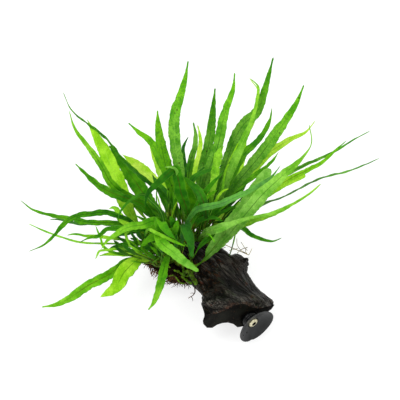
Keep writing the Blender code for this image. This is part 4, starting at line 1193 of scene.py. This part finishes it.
def wood_finish():
    """Near-black bogwood: fibres along the grain, painted highlight in grey on the ridges, painted shade in
    the hollows, red-brown flecks, a breath of green.
    """
    made = Finish("driftwood", roughness=0.46, specular=0.09)
    turned = made.stretched(made.place, (1, 1, 1), GRAIN.to_euler())

    def grained(squeeze):
        return made.stretched(turned, (squeeze, 1, 1))

    relief, behind, _ = made.split(made.map)
    fibres = made.noise(grained(0.10), scale=800, detail=5, roughness=0.65)
    strands = made.noise(grained(0.16), scale=330)
    colour = made.blend(made.ramp(fibres, 0.40, 0.62), screen_colour(4, 3, 2), screen_colour(25, 22, 18))

    # Painted highlight: grey on the raised ridges, and pale threads that show on raised parts and are
    # stronger in places, partly the wood's own pale fibres and partly painted highlight
    grey = made.times(made.ramp(relief, 0.42, 0.8), made.ramp(strands, 0.44, 0.62))
    colour = made.tinted(colour, grey, 0.4, (56, 52, 44))
    thread_highlight = made.patches(grained(0.06), scale=900, low=0.52, high=0.58, detail=2)
    places = made.patches(made.moved(turned, (0.3, 0.9, 0.2)), scale=30, low=0.42, high=0.6, detail=2)
    thread_highlight = made.times(thread_highlight, made.ramp(relief, 0.3, 0.6))
    colour = made.tinted(colour, thread_highlight, made.math("MULTIPLY_ADD", places, 0.55, 0.2), (96, 92, 84))

    # Brown patches, red flecks, green film and wet glints
    brown = made.patches(grained(0.4), scale=46, low=0.46, high=0.66)
    colour = made.tinted(colour, brown, 0.35, (30, 20, 12))
    red = made.patches(grained(0.34), scale=260, low=0.62, high=0.7, roughness=0.6)
    colour = made.tinted(colour, red, 0.5, (88, 42, 24))
    green = made.patches(made.moved(turned, (1.7, 0.4, 0.9)), scale=60, low=0.5, high=0.68)
    colour = made.tinted(colour, made.times(green, made.ramp(strands, 0.4, 0.7)), 0.5, (36, 54, 26))
    glint = made.patches(grained(0.5), scale=700, low=0.66, high=0.76, detail=2)
    colour = made.tinted(colour, glint, 0.35, (120, 122, 118))

    # A raw brown edge round the sawn face, and painted shade that darkens the hollows
    edge = made.times(made.inverse(made.ramp(behind, 0.03, 0.13)), made.ramp(strands, 0.36, 0.6))
    colour = made.tinted(colour, edge, 0.5, (72, 44, 28))
    hollow = made.inverse(made.ramp(relief, 0.12, 0.42))
    made.colour(made.tinted(colour, hollow, 0.8, (5, 4, 3)))
    made.bump(made.math("ADD", made.times(fibres, 0.9), made.times(strands, 0.6)), depth=0.0012, strength=0.9)
    return made.material


def sawn_finish():
    """The sawn end: smooth, near black, faintly green, with fine saw marks."""
    made = Finish("sawn_wood", roughness=0.6, specular=0.05)
    _, colour = made.cloudy(70, 0.36, 0.66, ((6, 5, 4), (24, 25, 20)))
    specks = made.patches(made.place, scale=620, low=0.58, high=0.72)
    made.colour(made.tinted(colour, specks, 0.4, (78, 60, 44)))
    marks = made.noise(made.stretched(made.place, (300, 300, 2400)), scale=1, detail=2)
    made.bump(marks, depth=0.0003, strength=0.6)
    return made.material


# Round strands: roots, fibres and bits of stem

FLOOR_GAP = 0.0005
# A direction that no strand runs along, from which its sides are turned
STRAND_GUIDE = Vector((0.31, 0.52, 0.79))
THIN_SIDES = 4
ROOT_SIDES = 5
STEM_SIDES = 8
ROOT_COLOURS = {
    "root_felt": ((8, 6, 4), (26, 18, 12)),
    "root_strands": ((16, 12, 7), (54, 39, 22)),
    "rootlets": ((40, 24, 12), (104, 70, 40)),
    "fibres": ((84, 70, 42), (188, 174, 120)),
    "wood_hairs": ((20, 12, 6), (74, 48, 26)),
}


def root_finish(name):
    made = Finish(name, roughness=0.8, specular=0.06)
    _, colour = made.cloudy(260, 0.36, 0.66, ROOT_COLOURS[name], roughness=0.6)
    made.colour(colour)
    made.bump(made.noise(made.place, scale=1500), depth=0.0004, strength=0.7)
    return made.material


def settle_roots(name, shape):
    close_up(shape)
    settle(name, shape, root_finish(name))


def add_strand(shape, line, radii, sides=ROOT_SIDES):
    """A closed tube along a line, its radius given at each point; both ends are pinched shut."""
    rows = len(line) + 1
    tube = bmesh.ops.create_grid(shape, x_segments=sides, y_segments=rows, size=1)["verts"]
    line = [Vector(point) for point in line]
    rings = []
    for index, point in enumerate(line):
        ahead = (line[min(index + 1, len(line) - 1)] - line[max(index - 1, 0)]).normalized()
        over = ahead.cross(STRAND_GUIDE).normalized()
        rings.append((point, over, over.cross(ahead)))
    for vertex in tube:
        column = round((vertex.co.x + 1) / 2 * sides) % sides
        row = round((vertex.co.y + 1) / 2 * rows)
        station = min(max(row - 1, 0), len(line) - 1)
        point, over, out = rings[station]
        angle = 2 * math.pi * column / sides
        radius = 0 if row in (0, rows) else radii[station]
        vertex.co = point + (over * math.cos(angle) + out * math.sin(angle)) * radius


def tapered(radius, loss, count):
    """Radii along a strand that loses this share of its first radius at each point."""
    return [radius * (1 - loss * step) for step in range(count)]


def lift_line(line, least):
    for point in line:
        point.z = max(point.z, least)


def smooth_places(places, count):
    """Count points on a smooth curve through the given picture points."""
    flat = np.array(places, float)
    marks = way_along(flat)
    return curve_values(marks, flat, np.linspace(0, marks[-1], count))


def wandering_line(start, direction, length, bend, steps, chance):
    """A hair's line that strays a little at each step, and stays above the floor."""
    start.z = max(start.z, FLOOR_GAP)
    line = [start]
    ahead = direction.normalized()
    for _ in range(steps):
        ahead = (ahead + Vector(stray(chance, 1, 1, 1)) * bend).normalized()
        step = line[-1] + ahead * length / steps
        step.z = max(step.z, FLOOR_GAP)
        line.append(step)
    return line


def leaning(along, normal, rise):
    """A direction laid along a surface, and raised from it a little."""
    return along - normal * along.dot(normal) + normal * rise


# The felt of roots

# Its lower edge in the picture, and the share of its way past that edge that a point keeps
FELT_LINE = ((145, 262), (188, 283))
FELT_SLOPE = (FELT_LINE[1][1] - FELT_LINE[0][1]) / (FELT_LINE[1][0] - FELT_LINE[0][0])
FELT_SLACK = 0.4
FELT_LIFT = 0.003
FELT_CUTS = 5
FELT_SMOOTHING = 4
FELT_FLOOR = 0.0003
FELT_LUMP = 0.0011
FELT_GULLY = 0.0014
FELT_TANGLE = 0.0005
# Roots all over it, and how far their feet are sunk in: fall, rise from the felt, length and radius
FELT_SEED = 11
FELT_ROOTS = 760
FELT_ROOT_SUNK = 0.0006
FELT_ROOT_FALL = (-0.8, 0.5)
FELT_ROOT_RISE = (0.05, 0.45)
FELT_ROOT_LENGTH = (0.0028, 0.0066)
FELT_ROOT_RADIUS = (0.0002, 0.00048)
# Short dark roots that stand out past the felt's lower edge
BRISTLE_LINE = ((146, 262), (151, 268), (157, 273), (166, 277), (176, 281), (190, 284))
BRISTLE_SEED = 31
BRISTLES = 110
BRISTLE_POINTS = 6
# How a bristle strays from that line, the way it starts in half turns, its stride, bend and radius, in pixels
BRISTLE_STRAY = ((-2, 2), (-5, 0.5))
BRISTLE_WAY = (0.3, 0.85)
BRISTLE_STRIDE = (0.5, 1.7)
BRISTLE_BEND = 0.6
BRISTLE_RADIUS = (0.3, 0.6)
BRISTLE_NEARER = 0.8
# Single rootlets that stand out against the white: radius in pixels, nearer than the wood, then places.
# They fall away from the viewer by so many pixels at each of their points
ROOTLET_POINTS = 9
ROOTLET_FALL = 1.5
ROOTLETS = (
    (0.7, 0, (194.7, 288), (195, 292), (193.3, 295.4), (190.5, 297.2), (188.2, 298.6)),
    (0.4, 0, (194.2, 293.6), (192, 293.2), (190.2, 293.6)),
    (0.45, 0, (191, 296.8), (192.4, 298.6), (192.8, 301.6)),
    (0.4, -4, (190, 284), (188.8, 287), (188, 289.8)),
    (0.5, -2, (147, 260), (144.6, 262.5), (146, 265.4)),
    (0.55, -2, (150, 264), (148.6, 267), (151.2, 270)),
    (0.5, -2, (152, 270), (151, 273.5), (153.4, 277.6)),
    (0.45, -2, (157, 270), (158.2, 275), (160.4, 278.6)),
    (0.5, -2, (169, 276), (170.5, 279), (172.4, 282)),
    (0.4, -2, (163, 274), (164.2, 277.6), (163.4, 280.4)),
)
# Fine fibres on the knot: radius in pixels, then places, all at one depth beside the wood's spur
FIBRE_DEPTH = -34
FIBRE_POINTS = 10
FIBRES = (
    (0.42, (224.5, 244.6), (233, 248.4), (241, 251.6), (248.6, 255)),
    (0.34, (237.3, 253.2), (241.6, 249.6), (247.6, 247.4)),
    (0.3, (248.8, 255.4), (250.4, 252.4), (252.2, 248.6)),
    (0.3, (237, 238.4), (237.4, 245.4), (241, 250.2), (247.4, 254)),
    (0.28, (241.2, 242.2), (243.4, 245.6), (245, 248.4), (247.6, 250.6)),
    (0.28, (229, 251), (233, 249.8), (238, 248.6)),
    (0.26, (247.4, 254.4), (245.6, 251.2), (246.4, 248)),
)
# Hairs lie on the wood in this part of the picture, across and down: rise, length, radius, how far sunk in
HAIR_SEED = 23
HAIRS = 260
HAIR_FIELD = ((158, 222), (238, 292))
HAIR_RISE = (0.05, 0.35)
HAIR_LENGTH = (0.003, 0.009)
HAIR_RADIUS = (0.00012, 0.00026)
HAIR_SUNK = 0.0004


def felt_height(point):
    """Lumps, gullies between strands, and a fine tangle."""
    lumps = FELT_LUMP * noise.noise(point * 130) - FELT_GULLY * max(0, ridged(point * 300)) ** 2
    return lumps + FELT_TANGLE * noise.noise(point * 800)


def make_root_mat():
    shape = refined_copy(nodes["root_mat"], FELT_CUTS)
    smooth_out(shape, FELT_SMOOTHING, shape.verts[:])
    for vertex in shape.verts:
        across, down, toward = picture_of(vertex.co)
        line = FELT_LINE[0][1] + (across - FELT_LINE[0][0]) * FELT_SLOPE
        if down > line:
            lifted = spot(across, line + (down - line) * FELT_SLACK, toward)
            vertex.co = vertex.co.lerp(lifted, eased(vertex.co.z / FELT_LIFT))
    shape.normal_update()
    push_out(shape, felt_height)
    lift_line([vertex.co for vertex in shape.verts], FELT_FLOOR)
    piece = settle("root_felt", shape, root_finish("root_felt"))
    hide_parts("root_mat")
    return piece


def make_roots(felt):
    """Short roots all over the felt."""
    chance = random.Random(FELT_SEED)
    shape = bmesh.new()
    corners_of = felt.data.vertices
    faces = [face for face in felt.data.polygons if face.area > 1e-9]
    sizes = [face.area for face in faces]
    for _ in range(FELT_ROOTS):
        face = chance.choices(faces, weights=sizes)[0]
        first, second, third = [corners_of[index].co for index in face.vertices][:3]
        low, high = sorted((chance.random(), chance.random()))
        point = first * low + second * (high - low) + third * (1 - high)
        along = Vector((*stray(chance, 1, 1), chance.uniform(*FELT_ROOT_FALL)))
        lean = leaning(along, face.normal, chance.uniform(*FELT_ROOT_RISE))
        start = point - face.normal * FELT_ROOT_SUNK
        length = chance.uniform(*FELT_ROOT_LENGTH)
        line = wandering_line(start, lean, length, bend=0.5, steps=7, chance=chance)
        radii = tapered(chance.uniform(*FELT_ROOT_RADIUS), loss=0.08, count=len(line))
        add_strand(shape, line, radii, sides=THIN_SIDES)
    settle_roots("root_strands", shape)


def add_bristles(shape):
    chance = random.Random(BRISTLE_SEED)
    for place in smooth_places(BRISTLE_LINE, BRISTLES):
        flat = np.array([value + chance.uniform(*reach) for value, reach in zip(place, BRISTLE_STRAY)])
        depth = seen_depth(*flat, BRISTLE_DEPTH) + BRISTLE_NEARER
        angle = chance.uniform(*BRISTLE_WAY) * math.pi
        stride = chance.uniform(*BRISTLE_STRIDE)
        line = []
        for step in range(BRISTLE_POINTS):
            line.append(spot(*flat, depth - step))
            angle += chance.uniform(-BRISTLE_BEND, BRISTLE_BEND)
            flat = flat + stride * np.array((math.cos(angle), math.sin(angle)))
        lift_line(line, FLOOR_GAP)
        radii = tapered(chance.uniform(*BRISTLE_RADIUS) * PIXEL, loss=0.12, count=len(line))
        add_strand(shape, line, radii)


def make_rootlets():
    dark = bmesh.new()
    add_bristles(dark)
    for radius, nearer, *places in ROOTLETS:
        depth = seen_depth(*places[0], STRAND_DEPTH) + nearer
        line = [spot(*place, depth - ROOTLET_FALL * step)
                for step, place in enumerate(smooth_places(places, ROOTLET_POINTS))]
        lift_line(line, radius * PIXEL)
        add_strand(dark, line, tapered(radius * PIXEL, loss=0.07, count=len(line)))
    settle_roots("rootlets", dark)
    pale = bmesh.new()
    for radius, *places in FIBRES:
        line = [spot(*place, FIBRE_DEPTH) for place in smooth_places(places, FIBRE_POINTS)]
        add_strand(pale, line, [radius * PIXEL] * len(line))
    settle_roots("fibres", pale)


def make_hairs():
    """Fine dark hairs lying on the wood's upper side, round the creeping stems."""
    chance = random.Random(HAIR_SEED)
    shape = bmesh.new()
    for _ in range(HAIRS):
        across, down = (chance.uniform(*reach) for reach in HAIR_FIELD)
        hit, normal, _, _ = CARRIER.ray_cast(spot(across, down, FRONT), -TO_VIEWER)
        if hit is None:
            continue
        lean = leaning(Vector(stray(chance, 1, 1, 1)), normal, chance.uniform(*HAIR_RISE))
        start = hit - normal * HAIR_SUNK
        length = chance.uniform(*HAIR_LENGTH)
        line = wandering_line(start, lean, length, bend=0.45, steps=6, chance=chance)
        add_strand(shape, line, [chance.uniform(*HAIR_RADIUS)] * len(line), sides=THIN_SIDES)
    settle_roots("wood_hairs", shape)


# The creeping stems

STEM_CUTS = 4
STEM_SMOOTHING = 5
STEM_SWELL = 0.0002
STEM_LUMP = 0.0006
STEM_SCALE = 0.0003
STEM_COLOURS = ((38, 70, 6), (88, 128, 24))
BIT_COLOURS = ((52, 92, 6), (104, 150, 28))
BIT_POINTS = 12
BIT_SMOOTHING = 3
# Bits of green stem and stalk feet: radius in pixels, lift from the wood, then places
STEM_BITS = (
    (1.5, 1.4, (183, 264), (183.6, 270), (184.4, 276)),
    (1.0, 1.2, (178, 271), (181, 274.2), (184.6, 276.2), (188.4, 277), (191.6, 274.6), (193, 271)),
    (1.5, 1.0, (181, 276), (185, 279.4), (191.6, 284.4)),
    (0.8, 1.6, (187.6, 275), (192.6, 270.8), (197, 265.8)),
    (0.7, 1.4, (168.6, 276.6), (171, 275), (174, 275.2), (176.6, 278.2), (178.4, 281.6), (181.6, 284.2),
     (185.4, 283.6)),
    (1.0, 1.6, (173.5, 270.4), (178, 272), (183, 274.4)),
    (1.2, 1.8, (176, 256), (179.6, 262), (183, 267)),
    (1.0, 1.8, (188, 254), (192, 262), (193.4, 272)),
    (0.9, 1.8, (160, 257), (164, 262), (170, 268)),
)


def stem_finish(name, tones):
    """Green stem with brown scales."""
    made = Finish(name, roughness=0.5, specular=0.1)
    _, colour = made.cloudy(160, 0.36, 0.64, tones, detail=3)
    scales = made.patches(made.place, scale=520, low=0.5, high=0.62, roughness=0.65)
    made.colour(made.tinted(colour, scales, 0.75, (66, 44, 16)))
    made.bump(scales, depth=0.0003, strength=0.8)
    return made.material


def stem_height(point):
    return STEM_LUMP * noise.noise(point * 230) + STEM_SCALE * ridged(point * 620) + STEM_SWELL


def make_stems():
    for name in STEM_NAMES:
        shape = refined_copy(nodes[name], STEM_CUTS)
        smooth_out(shape, STEM_SMOOTHING, shape.verts[:])
        push_out(shape, stem_height)
        new_name = name.replace("rhizome", "creeper")
        piece = settle(new_name, shape, stem_finish(f"{name}_skin", STEM_COLOURS))
        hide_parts(name)


def make_stem_bits():
    shape = bmesh.new()
    for radius, lift, *places in STEM_BITS:
        line = [spot(*place, seen_depth(*place, STRAND_DEPTH) + lift)
                for place in smooth_places(places, BIT_POINTS)]
        for _ in range(BIT_SMOOTHING):
            line[1:-1] = [(before + here * 2 + after) / 4
                          for before, here, after in zip(line, line[1:], line[2:])]
        radii = [radius * PIXEL * (1 + 0.08 * math.sin(2.1 * step)) for step in range(len(line))]
        add_strand(shape, line, radii, sides=STEM_SIDES)
    close_up(shape)
    settle("stem_bits", shape, stem_finish("stem_bits", BIT_COLOURS))


# The suction cup and its screw, turned round the cup's axis

TURN_STEPS = 96
# (radius, height) in millimetres from the rim's plane
CUP_PROFILE = (
    (2.3, -13.5), (6.9, -13.5), (7.25, -13.35), (7.4, -13.0), (7.4, -11.0), (7.25, -10.5), (6.6, -10.0),
    (6.25, -9.5), (6.2, -8.8), (6.5, -8.2), (7.6, -7.4), (9.6, -6.2), (11.6, -4.95), (13.6, -3.7),
    (15.6, -2.4), (17.2, -1.3), (17.9, -0.75), (18.2, -0.35), (18.25, -0.1), (18.1, 0.0), (17.6, -0.02),
    (17.0, -0.25), (16.0, -0.85), (14.2, -2.0), (12.2, -3.05), (10.1, -4.05), (8.2, -4.8), (6.6, -5.3),
    (5.75, -5.45), (5.45, -5.6), (5.3, -5.9), (5.15, -6.45), (4.9, -6.6), (2.3, -6.6),
)
SCREW_PROFILE = (
    (2.0, -24.0), (2.0, -6.28), (4.4, -6.28), (4.68, -6.1), (4.72, -5.6), (4.6, -5.2), (4.2, -4.75),
    (3.5, -4.4), (2.8, -4.2), (2.2, -4.1), (2.0, -4.25), (1.92, -5.5), (0.6, -5.7), (0.0, -5.75),
)
RIM_RADIUS = 0.0182
# The lip gives way outside this radius: a flatter side and a dent, as picture places, shares and half angles
LIP_FROM = 0.009
LIP_WAVE = 0.006
LIP_SAG = 0.00025
LIP_RIPPLE = 0.00012
LIP_DROP = 0.00037
FLAT_WAY = (265.2, 330.2)
FLAT_SHARE = 0.055
FLAT_ANGLE = 0.42
DENT_WAY = (251, 339.4)
DENT_SHARE = 0.06
DENT_ANGLE = 0.1
NECK_RADIUS = 0.0078
NECK_BELOW = -0.0072
CUP_CREASE = math.radians(50)
RUBBER_TONES = ((20, 22, 22), (36, 38, 39))
# The neck is the cup's own rubber, glossier, with darker tones as painted shade where it sits back between
# the cup and the wood
SHADED_NECK_TONES = ((5, 6, 7), (13, 14, 15))
# Grains of dirt on the cup: place in the picture and radius in pixels
CUP_SPECKS = ((246.9, 332.3, 0.95), (243.4, 335.1, 0.7), (262, 320, 0.3), (259, 332, 0.3))
SPECK_FLATNESS = 0.6
# The screw's socket: the radii between which its wall is, its depths, and how much it widens to six sides
SOCKET_INNER = 0.0012
SOCKET_OUTER = 0.00212
SOCKET_WALL_ABOVE = -0.0058
SOCKET_SHADE_ABOVE = -0.006
SOCKET_WIDER = 1.04
SCREW_CREASE = math.radians(35)
FOOT_SLACK = 1e-5


def cup_turn():
    """The cup's own frame: its origin in the middle of the rim, +Z the way it faces."""
    return Matrix.Translation(RIM_MIDDLE) @ CUP_AXIS.to_track_quat("Z", "Y").to_matrix().to_4x4()


def turned_shape(profile):
    """A closed profile turned round the Z axis, in metres."""
    shape = bmesh.new()
    corners = [shape.verts.new((radius / 1000, 0, height / 1000)) for radius, height in profile]
    edges = [shape.edges.new(pair) for pair in zip(corners, corners[1:])]
    if profile[-1][0] > 0:
        edges.append(shape.edges.new((corners[-1], corners[0])))
    bmesh.ops.spin(
        shape, geom=corners + edges, axis=(0, 0, 1), cent=(0, 0, 0), angle=2 * math.pi, steps=TURN_STEPS,
        use_merge=True,
    )
    bmesh.ops.remove_doubles(shape, verts=shape.verts, dist=SAME_CORNER)
    return shape


def way_round(across, down):
    """The angle round the cup's axis at which the rim lies this way in the picture."""
    def away(angle):
        point = cup_turn() @ Vector((RIM_RADIUS * math.cos(angle), RIM_RADIUS * math.sin(angle), 0))
        seen = picture_of(point)
        return math.hypot(seen[0] - across, seen[1] - down)

    return min((math.radians(step) for step in range(360)), key=away)


def nearness(angle, middle, reach):
    """1 at the middle angle, falling off over the reach."""
    between = abs((angle - middle + math.pi) % (2 * math.pi) - math.pi)
    return math.exp(-(between / reach) ** 2)


def give_way(shape):
    """Bends the turned cup's lip a little out of true."""
    flat = way_round(*FLAT_WAY)
    dent = way_round(*DENT_WAY)
    for vertex in shape.verts:
        x, y, _ = vertex.co
        outer = eased((math.hypot(x, y) - LIP_FROM) / LIP_FROM)
        angle = math.atan2(y, x)
        change = LIP_WAVE * math.sin(3 * angle + 0.7)
        change -= FLAT_SHARE * nearness(angle, flat, FLAT_ANGLE)
        change -= DENT_SHARE * nearness(angle, dent, DENT_ANGLE)
        sag = LIP_SAG * math.sin(2 * angle + 1.1) + LIP_RIPPLE * math.sin(5 * angle)
        vertex.co.x *= 1 + change * outer
        vertex.co.y *= 1 + change * outer
        vertex.co.z += (sag - LIP_DROP) * outer


def make_cup():
    shape = turned_shape(CUP_PROFILE)
    give_way(shape)
    bmesh.ops.recalc_face_normals(shape, faces=shape.faces)
    for face in shape.faces:
        middle = face.calc_center_median()
        on_neck = middle.z < NECK_BELOW and math.hypot(middle.x, middle.y) < NECK_RADIUS
        face.material_index = 1 if on_neck else 0
    shape.transform(cup_turn())
    piece = settle("cup_rubber", shape, rubber_finish("rubber", 0.36, 0.24, RUBBER_TONES))
    # The neck's darker tones are painted shade
    piece.data.materials.append(rubber_finish("shaded_neck_rubber", 0.2, 0.2, SHADED_NECK_TONES))
    piece.data.set_sharp_from_angle(angle=CUP_CREASE)
    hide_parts("suction_cup")
    return piece


def make_specks(cup):
    """Flattened grains of dirt on the cup."""
    copy = copy_of(cup)
    surface = BVHTree.FromBMesh(copy)
    copy.free()
    specks = bmesh.new()
    for across, down, radius in CUP_SPECKS:
        hit, normal, _, _ = surface.ray_cast(spot(across, down, FRONT), -TO_VIEWER)
        if hit is None:
            continue
        grain = bmesh.ops.create_icosphere(specks, subdivisions=2, radius=radius * PIXEL)["verts"]
        for vertex in grain:
            vertex.co += hit - normal * vertex.co.dot(normal) * SPECK_FLATNESS
    settle("cup_specks", specks, speck_and_shade_finish("cup_speck"))


def rubber_finish(name, roughness, specular, tones):
    """Dull black rubber with a little dust."""
    made = Finish(name, roughness=roughness, specular=specular)
    cloud, colour = made.cloudy(90, 0.34, 0.68, tones)
    dust = made.patches(made.place, scale=1700, low=0.62, high=0.8)
    made.colour(made.tinted(colour, dust, 0.3, (96, 98, 96)))
    made.feed(made.shader.inputs["Roughness"], made.math("MULTIPLY_ADD", cloud, 0.12, roughness - 0.04))
    made.bump(made.noise(made.place, scale=1900, detail=2), depth=0.0001, strength=0.5)
    return made.material


# Near-black finish: the dirt specks' own colour on the cup, and painted shade in the screw's socket
def speck_and_shade_finish(name):
    made = Finish(name, roughness=0.7, specular=0.1)
    cloud = made.noise(made.place, scale=900, detail=2)
    made.colour(made.blend(cloud, screen_colour(5, 5, 5), screen_colour(16, 16, 15)))
    return made.material


def make_screw():
    shape = turned_shape(SCREW_PROFILE)
    for vertex in shape.verts:
        x, y, z = vertex.co
        if SOCKET_INNER < math.hypot(x, y) < SOCKET_OUTER and z > SOCKET_WALL_ABOVE:
            sixth = math.atan2(y, x) % (math.pi / 3) - math.pi / 6
            scale = math.cos(math.pi / 6) / math.cos(sixth) * SOCKET_WIDER
            vertex.co.x *= scale
            vertex.co.y *= scale
    bottom = min(vertex.co.z for vertex in shape.verts)
    foot = [edge for edge in shape.edges
            if edge.is_boundary and all(vertex.co.z < bottom + FOOT_SLACK for vertex in edge.verts)]
    bmesh.ops.edgeloop_fill(shape, edges=foot)
    bmesh.ops.recalc_face_normals(shape, faces=shape.faces)
    for face in shape.faces:
        middle = face.calc_center_median()
        in_socket = math.hypot(middle.x, middle.y) < SOCKET_OUTER and middle.z > SOCKET_SHADE_ABOVE
        face.material_index = 1 if in_socket else 0
    shape.transform(cup_turn())
    piece = settle("screw_metal", shape, steel_finish())
    # The socket's faces get the near-black finish as painted shade in the recess
    piece.data.materials.append(speck_and_shade_finish("socket_shade"))
    piece.data.set_sharp_from_angle(angle=SCREW_CREASE)
    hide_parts("screw")


def steel_finish():
    """Cream-grey stainless steel, worn dull."""
    made = Finish("steel", roughness=0.34, metallic=0.75, specular=0.5)
    cloud, colour = made.cloudy(700, 0.36, 0.66, ((178, 172, 138), (232, 226, 196)))
    made.colour(colour)
    made.feed(made.shader.inputs["Roughness"], made.math("MULTIPLY_ADD", cloud, 0.2, 0.26))
    made.bump(made.noise(made.place, scale=2600, detail=2), depth=0.00008, strength=0.5)
    return made.material


# Lights, floor and camera

FLOOR_HALF = 6
FLOOR_ALBEDO = 0.30
FLOOR_GLOW = 0.78
SKY_STRENGTH = 0.75
# Soft lights, all aimed at the origin: place, size in metres, power in watts
LIGHTS = {
    "key": ((-1.2, -0.9, 2.2), 1.6, 38),
    "fill": ((1.6, -1.4, 1.4), 1.8, 16),
    "back": ((0.3, 1.8, 1.8), 1.6, 14),
}
CLIP = (1, 60)


def make_floor():
    """A white ground that glows a little, for the photo's cut-out white."""
    shape = bmesh.new()
    bmesh.ops.create_grid(shape, x_segments=1, y_segments=1, size=FLOOR_HALF)
    finish = Finish("floor", roughness=0.9, specular=0.0)
    finish.colour((FLOOR_ALBEDO, FLOOR_ALBEDO, FLOOR_ALBEDO, 1))
    finish.shader.inputs["Emission Color"].default_value = (1, 1, 1, 1)
    finish.shader.inputs["Emission Strength"].default_value = FLOOR_GLOW
    mesh_piece("floor", shape, finish.material)


def make_lights():
    world = bpy.data.worlds.new("studio")
    world.use_nodes = True
    world.node_tree.nodes["Background"].inputs["Color"].default_value = (1, 1, 1, 1)
    world.node_tree.nodes["Background"].inputs["Strength"].default_value = SKY_STRENGTH
    bpy.context.scene.world = world
    bpy.context.scene.view_settings.view_transform = "Standard"
    for name, (place, size, power) in LIGHTS.items():
        data = bpy.data.lights.new(name, "AREA")
        data.size = size
        data.energy = power
        lamp = bpy.data.objects.new(name, data)
        lamp.location = place
        lamp.rotation_euler = (-Vector(place)).to_track_quat("-Z", "Y").to_euler()
        bpy.context.scene.collection.objects.link(lamp)


def make_camera():
    """The photo's view: one picture pixel is one PIXEL at the picture's middle."""
    middle = spot(PICTURE_SIZE / 2, PICTURE_SIZE / 2, 0)
    data = bpy.data.cameras.new("camera")
    data.sensor_width = SENSOR
    data.lens = SENSOR * CAMERA_DISTANCE / (PICTURE_SIZE * PIXEL)
    data.clip_start, data.clip_end = CLIP
    camera = bpy.data.objects.new("camera", data)
    camera.location = middle + TO_VIEWER * CAMERA_DISTANCE
    camera.rotation_euler = (math.pi / 2 - VIEW_TILT, 0, 0)
    bpy.context.scene.collection.objects.link(camera)
    bpy.context.scene.camera = camera


make_camera()
make_lights()
make_floor()
make_wood()
make_roots(make_root_mat())
make_rootlets()
make_hairs()
make_stems()
make_stem_bits()
make_specks(make_cup())
make_screw()
make_leaves()
make_small_leaves()
make_young_leaves()
